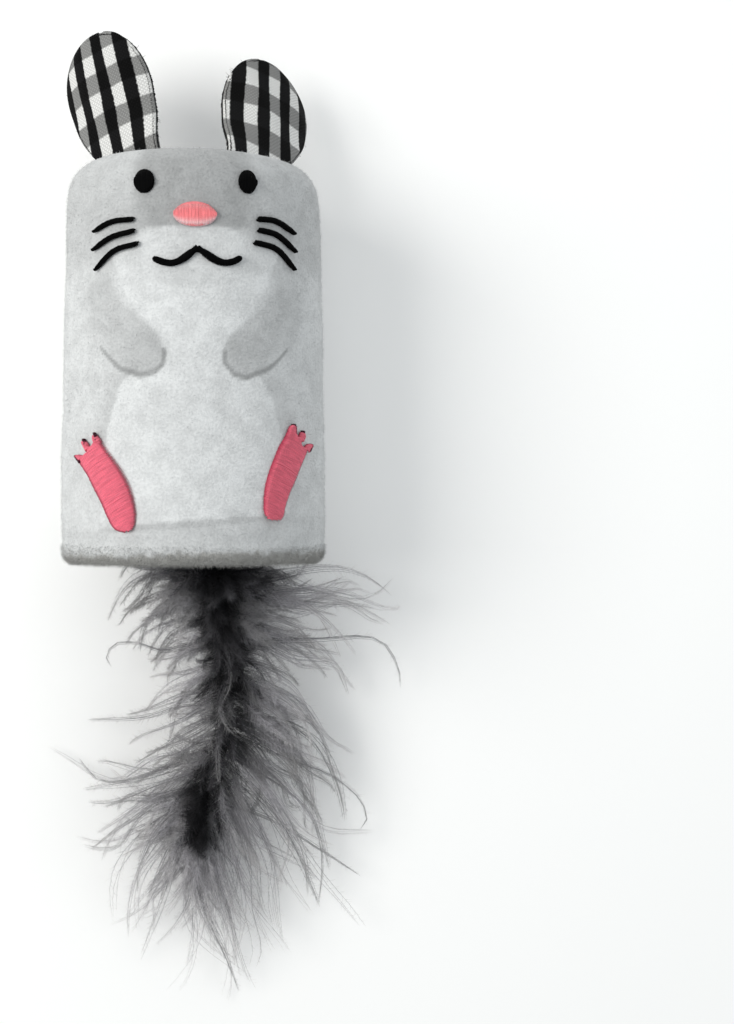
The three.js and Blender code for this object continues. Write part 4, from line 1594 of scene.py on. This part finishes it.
    def whipping(self) -> bpy.types.Object:
        """Fine stitches over the edge, all the way round.

        Returns:
            The piece.
        """
        rng = np.random.default_rng(5 + self.side.value)
        line = spline(self.outline(120), self.whips)
        steps = 6
        a = np.linspace(-0.75 * np.pi, 0.75 * np.pi, steps + 1)
        inward = unit(np.array([0, self.height * self.middle]) - line)
        ahead = unit(np.gradient(line, axis=0))
        along = np.linspace(-1, 1, steps + 1) * self.whip_slant
        where = line[:, None] + inward[:, None] * (self.whip_depth * (1 - np.cos(a)))[None, :, None]
        where = where + ahead[:, None] * along[None, :, None] + rng.normal(0, 0.04, (len(line), 1, 2))
        base = self.bent(where[..., 0], where[..., 1], 0.0)
        normal = np.array(self.frame.to_3x3() @ Vector((0, 0, 1)))
        lines = base + normal * (np.sin(a) * self.whip_height)[None, :, None]
        radii = np.full(lines.shape[:2], self.whip_radius)
        part = Strand(4, steps).sweep(lines, radii, rng.uniform(0.02, 0.98, len(lines)))
        return piece_from(f"{self.label}_ear_whipping", *part)

    def frays(self) -> bpy.types.Object:
        """Loose ends of the weave that stand out from the edge.

        Returns:
            The piece.
        """
        rng = np.random.default_rng(21 + self.side.value)
        count, steps = self.fray_count, 5
        line = spline(self.outline(120), 400)
        pick = rng.integers(20, 380, count)
        out = unit(line[pick] - np.array([0, self.height * self.middle]))
        root = self.bent(line[pick, 0], line[pick, 1], 0.0)
        ahead = self.bent(*(line[pick] + out * 0.5).T, 0.0) - root
        way = unit(unit(ahead) + rng.normal(0, 0.45, (count, 3)))
        curl = rng.normal(0, 0.5, (count, 3))
        t = np.linspace(0, 1, steps + 1)
        long = rng.uniform(*self.fray_length, count)[:, None, None]
        curve = way[:, None] * t[None, :, None] + curl[:, None] * (t**2)[None, :, None] * 0.5
        lines = root[:, None] + long * curve
        radii = np.repeat((self.fray_radius * (1 - 0.7 * t))[None], count, 0)
        part = Strand(3, steps).sweep(lines, radii, rng.uniform(0.02, 0.98, count))
        return piece_from(f"{self.label}_ear_frays", *part)

    def build(self) -> list[bpy.types.Object]:
        """Makes the ear.

        Returns:
            Its pieces.
        """
        cloth = GinghamFinish(f"{self.label}_gingham", stripe=self.stripe, row=self.row)
        front, area = self.leaf(1)
        back, _ = self.leaf(-1)
        whipping, frays = self.whipping(), self.frays()
        place_piece(front, cloth, None, [f"{self.label}_ear_front", f"{self.label}_ear_tab"])
        place_piece(back, cloth, None, [f"{self.label}_ear_back"])
        place_piece(whipping, self.whip, None)
        place_piece(frays, self.fray, None)
        for piece in (front, back, whipping, frays):
            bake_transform(piece)
        size = (self.width * MM, (self.height + self.foot) * MM)
        area = min(area, size[0] * size[1])
        return [front, back, whipping, frays]


# Tail


@dataclass(frozen=True)
class Guide:
    """Where a long barb runs: its place along the quill, its tip, and its bow towards the body."""

    along: float
    x: float
    y: float
    z: float
    bow: float = 0.0


def guide_rows(*rows: Sequence[float]) -> tuple[Guide, ...]:
    """Guides from rows of their values."""
    return tuple(Guide(*row) for row in rows)


@dataclass(frozen=True)
class Coat:
    """One coat of barbs over a stretch of guides, in locks that draw together towards their tips."""

    locks: int
    barbs: int
    reach: Pair
    arch: Pair
    tint: Pair
    down: int
    clump: float = 0.9
    scatter: float = 2.2


@dataclass(frozen=True)
class Looseness:
    """How far barbs stray: in a pair, first a whole lock and then each barb in it."""

    root: Pair = (1.2, 0.6)
    bow: Pair = (0.07, 0.025)
    wave: Pair = (0.035, 0.012)
    hook: Pair = (0.5, 0.12)
    beats: Pair = (0.8, 2.0)
    beat: float = 0.06
    place: float = 0.05
    tip: float = 0.6
    reach: float = 0.06
    kink: float = 0.06
    tint: float = 0.07


@dataclass
class MarabouTail:
    """Marabou feather bound to the base: a quill with soft barbs, and down along each barb."""

    root: Place = (3.8, -44.6, 25.9)
    route: tuple[Place, ...] = (
        (0, 0, 0), (1, 7, 2), (3.4, 23, 8.6), (4.4, 34, 12), (2, 44.6, 14.2), (-2.6, 54, 15.6), (-4.6, 59, 16),
    )
    tuft_left: tuple[Guide, ...] = guide_rows(
        (1, -17, -46, 16, 0.06), (2.5, -18.7, -54, 14, 0.2), (5, -17, -60, 14, 0.2), (9, -14.5, -63, 14, 0.16),
    )
    tuft_right: tuple[Guide, ...] = guide_rows(
        (10, 33.8, -61.4, 14, 0.06), (6, 41.8, -53.8, 14, 0.02), (3, 45, -49.3, 15, -0.02), (1, 42, -45.5, 16, -0.06),
    )
    ruff: tuple[Guide, ...] = guide_rows(
        (0.4, -13, -45.2, 25), (0.8, -8, -49, 28), (1.5, 2, -53, 29), (1.2, 12, -51, 29), (0.6, 20, -47.4, 27),
        (0.4, 29, -45.4, 25),
    )
    plume_left: tuple[Guide, ...] = guide_rows(
        (10, -12, -64.5, 9, 0.14), (14, -10, -67, 7, 0.12), (20, -10, -72.5, 7, 0.1), (27, -14, -81.6, 7, 0.06),
        (34, -19.5, -87.6, 7), (41, -25.3, -95, 7, -0.05), (48, -28.4, -104.6, 7), (54, -25.8, -114.9, 7, 0.05),
        (57, -20.4, -122, 7, 0.06),
    )
    fan: tuple[Guide, ...] = guide_rows(
        (56, -20.6, -123, 4, 0.04), (58, -13.6, -132.5, 4), (60, -3.5, -136.5, 4), (61, 6.8, -141, 4),
        (60, 11.4, -142, 4), (54, 16.9, -135.6, 4, 0.02), (48, 24.4, -127.7, 4, 0.05),
    )
    plume_right: tuple[Guide, ...] = guide_rows(
        (46, 23.6, -125.9, 7, 0.06), (41, 30.2, -120.5, 7, 0.1), (36, 36.5, -110.4, 7, 0.13),
        (31, 38.5, -99.8, 7, 0.14), (26, 38, -88, 7, 0.12), (20, 35.2, -77.6, 7, 0.1), (15, 32.5, -68, 7, 0.06),
        (10.5, 33, -63.5, 10, 0.06),
    )
    crest_at: tuple[float, ...] = (1.0, 7.0, 13.0, 20.0, 27.0, 34.0, 41.0, 46.0)
    crest_aside: float = 3.5
    crest_ahead: float = 15.0
    crest_up: float = 5.0
    root_strays: tuple[tuple[Place, ...], ...] = (
        ((8.9, -60.2, 20), (25.8, -60.7, 16), (40.7, -60.8, 12), (46.4, -67, 9), (47.5, -73, 7)),
        (
            (4.5, -60.2, 20), (-6.5, -62.7, 15), (-12.1, -61.4, 12), (-17.1, -61.5, 10), (-19.7, -64.4, 8),
            (-18.6, -67.4, 7),
        ),
    )
    far_strays: tuple[tuple[Place, ...], ...] = (
        ((6.8, -84.4, 13), (-10, -90.7, 10), (-16.8, -92.9, 8), (-22.2, -92.5, 7), (-26.3, -87.6, 6)),
        ((9, -82.1, 14), (21.5, -88.2, 12), (30.8, -92.2, 10), (37.5, -97.7, 8), (39.8, -103, 6), (38, -106.4, 5)),
        ((3.5, -97.1, 11), (17.1, -102.3, 9), (30, -110.9, 6), (38.7, -116.9, 5)),
        ((6.8, -86.7, 13), (20.4, -95.2, 11), (26.8, -102.6, 9), (29.3, -112.5, 6), (28.5, -123.1, 5)),
    )
    fan_strays: tuple[tuple[Place, ...], ...] = (((-0.5, -112, 9), (3, -124, 8), (7.5, -135, 5), (10.3, -143, 4)),)
    quill_radius: float = 0.5
    barb_radius: float = 0.07
    barb_steps: int = 12
    stray_barbs: int = 6
    stray_down: int = 24
    down_radius: float = 0.03
    down_length: Pair = (1.6, 5.4)
    down_lean: Pair = (0.55, 0.84)
    down_floor: float = 0.15
    bind_radius: float = 2.0
    bind_thread: float = 0.24
    bind_turns: int = 9
    lift_at: float = 12.0
    lift_span: Pair = (-4.0, 5.0)
    swing_span: Pair = (0.5, -12.0)
    edge: float = 43.0
    edge_soft: float = 4.0
    floor: Pair = (0.35, 0.5)
    floor_soft: float = 0.9
    floor_reach: float = 4.0
    seed: int = 3
    loose: Looseness = Looseness()
    finish: MarabouFinish = MarabouFinish("marabou")
    down_finish: MarabouFinish = MarabouFinish(
        "marabou_down", root=(0.03, 0.029, 0.034), middle=(0.46, 0.447, 0.474), tip=(0.7, 0.685, 0.685)
    )
    # painted shade: the nearly black barbs and quill in the feather's middle stand for its dark dye and for the shade
    # deep among the barbs
    core_finish: MarabouFinish = MarabouFinish(
        "marabou_core", root=(0.004, 0.004, 0.005), middle=(0.02, 0.0195, 0.023), tip=(0.16, 0.156, 0.168), sheen=0.0
    )
    thread: ThreadFinish = ThreadFinish("tail_thread", colour=(0.012, 0.012, 0.014), turns=20.0)

    def __post_init__(self) -> None:
        """Lays the quill's line out once."""
        line = [(self.root[0] + a, self.root[1] - b, self.root[2] - c) for a, b, c in self.route]
        self.line = spline(line, 400)
        self.far = np.concatenate([[0], np.cumsum(np.linalg.norm(np.diff(self.line, axis=0), axis=1))])

    def quill_at(self, s: np.ndarray) -> tuple[np.ndarray, np.ndarray]:
        """Points of the quill and the way it runs, at distances along it."""
        ahead = unit(np.gradient(self.line, axis=0))
        at = [np.stack([np.interp(s, self.far, a[:, k]) for k in range(3)], -1) for a in (self.line, ahead)]
        return at[0], unit(at[1])

    def barbs(
        self, guides: Sequence[Guide], coat: Coat, rng: np.random.Generator
    ) -> tuple[np.ndarray, np.ndarray]:
        """Lines of the barbs of a coat.

        Args:
            guides: Long barbs, in order, that it lies between.
            coat: The coat.
            rng: Source of the scatter.

        Returns:
            The lines, and a tint for each.
        """
        n, steps, loose = coat.locks * coat.barbs, self.barb_steps, self.loose
        lead = np.repeat(np.arange(coat.locks), coat.barbs)

        def each(spread: Pair, *size: int) -> np.ndarray:
            """Scatter of each lock, and a little more of each barb."""
            return rng.normal(0, spread[0], (coat.locks, *size))[lead] + rng.normal(0, spread[1], (n, *size))

        def drawn(low: float, high: float) -> np.ndarray:
            """A value for each lock, given to its barbs."""
            return rng.uniform(low, high, coat.locks)[lead]

        table = np.array([(g.along, g.x, g.y, g.z, g.bow) for g in guides])
        last = len(table) - 1
        place = (np.arange(coat.locks) + rng.random(coat.locks)) / coat.locks * last
        place = np.clip(place[lead] + rng.normal(0, loose.place, n), 0, last)
        row = np.stack([np.interp(place, np.arange(len(table)), column) for column in table.T], 1)
        start, _ = self.quill_at(np.clip(row[:, 0] + each(loose.root), 0.3, self.far[-1] - 0.2))
        tip = row[:, 1:4] + each((coat.scatter, loose.tip), 3)
        reach = drawn(*coat.reach) * (1 + rng.normal(0, loose.reach, n))
        chord = (tip - start) * reach[:, None]
        long = np.linalg.norm(chord, axis=1)[:, None]
        side = unit(np.stack([-chord[:, 1], chord[:, 0], np.zeros(n)], 1))
        side *= np.where(side[:, 1:2] < 0, -1, 1)
        t = np.linspace(0, 1, steps + 1)[None]
        belly = 4 * t * (1 - t)
        beat = drawn(*loose.beats)[:, None] + rng.normal(0, loose.beat, (n, 1))
        phase = drawn(0, 2 * np.pi)[:, None]
        wave = np.sin(2 * np.pi * beat * t + phase) * t**0.7
        hook = np.clip(t - 0.5, 0, 1) ** 2
        bend = belly * (row[:, 4] + each(loose.bow))[:, None] + wave * each(loose.wave)[:, None]
        bend = bend + hook * each(loose.hook)[:, None]
        rise = belly * drawn(*coat.arch)[:, None]
        rise = rise + (wave[:, ::-1] - wave[:, -1:]) * each(loose.wave)[:, None] * long
        kink = np.cumsum(rng.normal(0, loose.kink, (n, steps + 1, 3)), 1) * t[..., None]
        lines = start[:, None] + chord[:, None] * t[..., None] + side[:, None] * (bend * long)[..., None]
        lines = lines + kink + np.array([0, 0, 1.0]) * (rise * t**0.3)[..., None]
        lines = lines + (lines[lead * coat.barbs] - lines) * (coat.clump * t**1.2)[..., None]
        over = np.maximum(lines[..., 0] - self.edge, 0)
        lines[..., 0] -= over - self.edge_soft * np.tanh(over / self.edge_soft)
        floor = self.floor[0] + self.floor[1] * rng.random(n)[:, None]
        lines[..., 2] = laid(lines[..., 2], floor, self.floor_soft, self.floor_reach)
        tint = np.clip(drawn(*coat.tint) + rng.normal(0, loose.tint, n), 0.02, 0.98)
        return lines, tint

    def stray(self, points: Sequence[Place], rng: np.random.Generator) -> tuple[np.ndarray, np.ndarray]:
        """Lines of a lock that strays out by itself.

        Args:
            points: Places that it passes.
            rng: Source of the scatter.

        Returns:
            The lines, and a tint for each.
        """
        count, steps = self.stray_barbs, self.barb_steps
        loose = np.linspace(1, 0.15, steps + 1)[None, :, None]
        lines = spline(points, steps + 1)[None] + rng.normal(0, 0.5, (count, 1, 3)) * loose
        return lines + rng.normal(0, 0.05, lines.shape), rng.uniform(0.25, 0.6, count)

    def downy(self, lines: np.ndarray, tint: np.ndarray, per: int, rng: np.random.Generator) -> Part:
        """Down along barbs.

        Args:
            lines: The barbs' lines.
            tint: The barbs' tints.
            per: Hairs of down to a barb.
            rng: Source of the scatter.

        Returns:
            Points, triangles and UV places.
        """
        n, k, _ = lines.shape
        t = np.clip((np.arange(per)[None] + rng.random((n, per))) / per * 0.93 + 0.04, 0, 0.995)
        x = t * (k - 1)
        i = x.astype(int)
        row = np.arange(n)[:, None]
        a, b = lines[row, i], lines[row, i + 1]
        at = a + (b - a) * (x - i)[..., None]
        ahead = unit(b - a)
        aside = unit(np.cross(ahead, rng.normal(0, 1, at.shape)))
        long = rng.uniform(*self.down_length, t.shape) * (1.0 - 0.7 * t)
        tip = at + (ahead * self.down_lean[0] + aside * self.down_lean[1]) * long[..., None]
        tip[..., 2] = np.maximum(tip[..., 2], self.down_floor)
        pair = np.stack([at, tip], 2).reshape(-1, 2, 3)
        radii = np.repeat(np.array([[self.down_radius, 0.0]]), len(pair), 0)
        points, triangles, uv = Strand(3, 1).sweep(pair, radii, np.repeat(tint, per))
        uv[:, 1] = np.repeat(t.reshape(-1), len(points) // len(pair)) * 0.96 + 0.02
        return points, triangles, uv

    def run(
        self,
        name: str,
        coats: Sequence[tuple[Sequence[Guide], Coat]],
        replaces: Sequence[str],
        finishes: tuple[Finish, Finish],
        strays: Sequence[Sequence[Place]] = (),
    ) -> list[bpy.types.Object]:
        """Makes barbs, and the down on them, as two pieces.

        Args:
            name: Name of the barbs' piece.
            coats: Their coats, each with the guides that it follows.
            replaces: CAD nodes that they stand for.
            finishes: Finishes of the barbs and of the down.
            strays: Places that single long locks pass.

        Returns:
            The two pieces, not yet riding on anything.
        """
        rng = np.random.default_rng(self.seed + len(name))
        barbs, hairs = [], []
        runs = [(*self.barbs(guides, coat, rng), coat.down) for guides, coat in coats]
        runs += [(*self.stray(points, rng), self.stray_down) for points in strays]
        thin = self.barb_radius * (1 - 0.6 * np.linspace(0, 1, self.barb_steps + 1))
        for lines, tint, down in runs:
            radii = np.repeat(thin[None], len(lines), 0)
            barbs.append(Strand(3, self.barb_steps).sweep(lines, radii, tint))
            hairs.append(self.downy(lines, tint, down, rng))
        made = []
        for label, parts, finish in ((name, barbs, finishes[0]), (name + "_down", hairs, finishes[1])):
            piece = piece_from(label, *joined(*parts))
            made.append(place_piece(piece, finish, None, replaces))
            replaces = ()
        return made

    def quill(self) -> bpy.types.Object:
        """Quill from the binding to its end.

        Returns:
            The piece.
        """
        steps = 40
        s = np.linspace(1.0, self.far[-1] - 0.3, steps + 1)
        p, _ = self.quill_at(s)
        radii = self.quill_radius * np.linspace(1.0, 0.35, steps + 1)[None]
        points, triangles, uv = Strand(8, steps).sweep(p[None], radii, np.array([0.1]))
        uv[:, 1] *= 0.2
        return piece_from("tail_quill", points, triangles, uv)

    def binding(self) -> bpy.types.Object:
        """Thread wound over the quill's root, round the binding's own form.

        Returns:
            The piece.
        """
        steps = 150
        t = np.linspace(0, 1, steps + 1)
        y = -1.75 + 3.5 * t
        r = np.sqrt(np.maximum(self.bind_radius**2 - y**2, 0.1)) * 0.93
        a = 2 * np.pi * self.bind_turns * t
        x0, y0, z0 = self.root
        line = np.stack([x0 + r * np.cos(a), y0 + y, z0 + r * np.sin(a)], 1)
        wound = Strand(5, steps).sweep(line[None], np.full((1, steps + 1), self.bind_thread), np.array([0.5]))
        core, under = form_of("tail_binding")
        return piece_from("tail_binding_thread", *joined(wound, (core, under, np.full((len(core), 2), 0.5))))

    def crest(self) -> tuple[Guide, ...]:
        """Guides of the barbs that stand along the quill, to one side and the other.

        Returns:
            The guides.
        """
        made = []
        for k, at in enumerate(self.crest_at):
            p, _ = self.quill_at(np.array(at + self.crest_ahead))
            aside = self.crest_aside if k % 2 else -self.crest_aside
            made.append(Guide(at, p[0] + aside, p[1], p[2] + self.crest_up))
        return tuple(made)

    def build(self) -> list[bpy.types.Object]:
        """Makes the feather.

        Returns:
            Its pieces.
        """
        tuft_left, tuft_right, crest = self.tuft_left, self.tuft_right, self.crest()
        plume_left, plume_right, fan = self.plume_left, self.plume_right, self.fan
        tuft = [
            (tuft_left, Coat(20, 6, (0.4, 1.02), (0, 5), (0.1, 0.6), 84)),
            (tuft_right, Coat(28, 6, (0.35, 1.04), (0, 5), (0.6, 1.0), 64)),
            (tuft_left + tuft_right[:2], Coat(18, 6, (0.3, 0.6), (2, 9), (0.05, 0.5), 84, 0.6)),
        ]
        plume = [
            (plume_left, Coat(50, 6, (0.4, 1.03), (-2, 6), (0.25, 1.0), 64)),
            (plume_right, Coat(54, 6, (0.4, 1.03), (-2, 6), (0.25, 1.0), 64)),
            (crest[2:6], Coat(9, 5, (0.7, 1.2), (0, 3), (0.0, 0.2), 40, 0.7, 3.5)),
        ]
        ends = [
            (fan, Coat(100, 3, (0.4, 1.06), (-2, 6), (0.5, 1.0), 84, 0.75)),
            (plume_left[5:] + fan[:3] + plume_right[:4], Coat(24, 6, (0.3, 0.6), (2, 7), (0.15, 0.6), 88, 0.6)),
        ]
        root_core = [
            (self.ruff, Coat(34, 6, (0.35, 1.0), (1, 6), (0.1, 0.8), 70, 0.5, 1.2)),
            (tuft_left + tuft_right, Coat(28, 6, (0.2, 0.45), (1, 6), (0.0, 0.6), 70, 0.5)),
            (crest[:2], Coat(14, 6, (0.5, 1.1), (1, 4), (0.0, 0.5), 70, 0.5)),
        ]
        far_core = [
            (plume_left[:5] + plume_right[3:][::-1], Coat(46, 5, (0.12, 0.34), (1, 5), (0.0, 0.6), 46, 0.4)),
            (plume_left[5:] + fan[:6], Coat(40, 6, (0.14, 0.34), (1, 6), (0.0, 0.4), 46, 0.4)),
            (crest[1:], Coat(36, 5, (0.5, 1.05), (0, 4), (0.15, 0.75), 54, 0.5, 2.0)),
            (plume_left[7:] + fan[:5], Coat(52, 6, (0.1, 0.23), (4, 10), (0.0, 0.08), 44, 0.3)),
        ]
        # the core pieces wear the near-black finish: dark dye and painted shade in the feather's middle
        grey, dark = (self.finish, self.down_finish), (self.core_finish, self.core_finish)
        root_pieces = self.run("tail_tuft", tuft, ["root_plume"], grey, self.root_strays)
        root_pieces += self.run("tail_tuft_core", root_core, [], dark)
        far_pieces = self.run("tail_plume", plume, ["main_plume"], grey, self.far_strays)
        far_pieces += self.run("tail_fan", ends, [], grey, self.fan_strays)
        far_pieces += self.run("tail_plume_core", far_core, [], dark)
        quill = place_piece(self.quill(), self.core_finish, None)
        for piece in [*far_pieces, quill]:
            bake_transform(piece)
        for piece in root_pieces:
            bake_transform(piece)
        binding = place_piece(self.binding(), self.thread, Rides.TAIL_ROOT, ["tail_binding"])
        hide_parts("tail_anchor")
        return [*root_pieces, *far_pieces, quill, binding]


# Studio


@dataclass(frozen=True)
class Lamp:
    """Square soft lamp aimed at the toy."""

    name: str
    place: Place
    size: float
    watts: float
    colour: Colour

    def hang(self) -> None:
        """Hangs the lamp in the scene."""
        data = bpy.data.lights.new(self.name, "AREA")
        data.shape, data.size = "SQUARE", self.size
        data.energy, data.color = self.watts, self.colour
        lamp = bpy.data.objects.new(self.name, data)
        lamp.location = self.place
        lamp.rotation_euler = (-Vector(self.place)).to_track_quat("-Z", "Y").to_euler()
        bpy.context.scene.collection.objects.link(lamp)


@dataclass
class Studio:
    """Camera, lamps and the pale surface, as in the photograph."""

    height: float = 0.3519
    along: float = -0.032
    yaw: float = 0.1145
    focal_pixels: float = 1500.0
    long_side: float = 1024.0
    sensor: float = 36.0
    floor_half: float = 1500.0
    sky: float = 0.53
    sky_colour: Colour = (0.95, 0.985, 1.0)
    lamps: tuple[Lamp, ...] = (
        Lamp("key", (-0.55, 0.12, 0.55), 0.42, 4.0, (1.0, 0.985, 0.95)),
        Lamp("fill", (0.55, -0.05, 0.4), 0.5, 0.55, (0.93, 0.98, 1.0)),
        Lamp("back", (0.05, 0.7, 0.4), 0.5, 1.2, (1.0, 1.0, 1.0)),
    )

    def camera(self) -> None:
        """Sets the camera up, looking down on the toy."""
        data = bpy.data.cameras.new("camera")
        data.sensor_width = self.sensor
        data.lens = self.focal_pixels / self.long_side * self.sensor
        data.clip_start, data.clip_end = 0.01, 10
        cam = bpy.data.objects.new("camera", data)
        cam.location = (0, self.along, self.height)
        cam.rotation_euler = (0, -self.yaw, 0)
        bpy.context.scene.collection.objects.link(cam)
        bpy.context.scene.camera = cam

    def build(self) -> None:
        """Sets the scene."""
        scene = bpy.context.scene
        scene.view_settings.view_transform = "Standard"
        self.camera()
        bm = bmesh.new()
        bmesh.ops.create_grid(bm, x_segments=4, y_segments=4, size=self.floor_half)
        floor = object_from("floor", bm)
        FloorFinish("floor").dress(floor)
        for lamp in self.lamps:
            lamp.hang()
        world = bpy.data.worlds.new("sky")
        scene.world = world
        world.use_nodes = True
        sky = world.node_tree.nodes["Background"]
        sky.inputs[0].default_value = (*self.sky_colour, 1)
        sky.inputs[1].default_value = self.sky


def main() -> None:
    """Builds the toy piece by piece, and logs how many faces each piece has."""
    logging.basicConfig(level=logging.INFO, format="%(name)s %(message)s")
    Studio().build()
    body = PlushBody()
    left_ear = Ear(Side.LEFT, turn=-37, tilt=3, lean=-13, shift=(4.4, 4.0), rows_fall=-0.28)
    right_ear = Ear(Side.RIGHT, turn=35, tilt=-22, lean=16.5, shift=(1.8, 1.4), rows_fall=0.3, row=5.2)
    for maker in (body, Embroidery(body), left_ear, right_ear, MarabouTail()):
        for piece in maker.build():
            LOG.info("%s: %d faces", piece.name, len(piece.data.polygons))


if __name__ == "__main__":
    main()
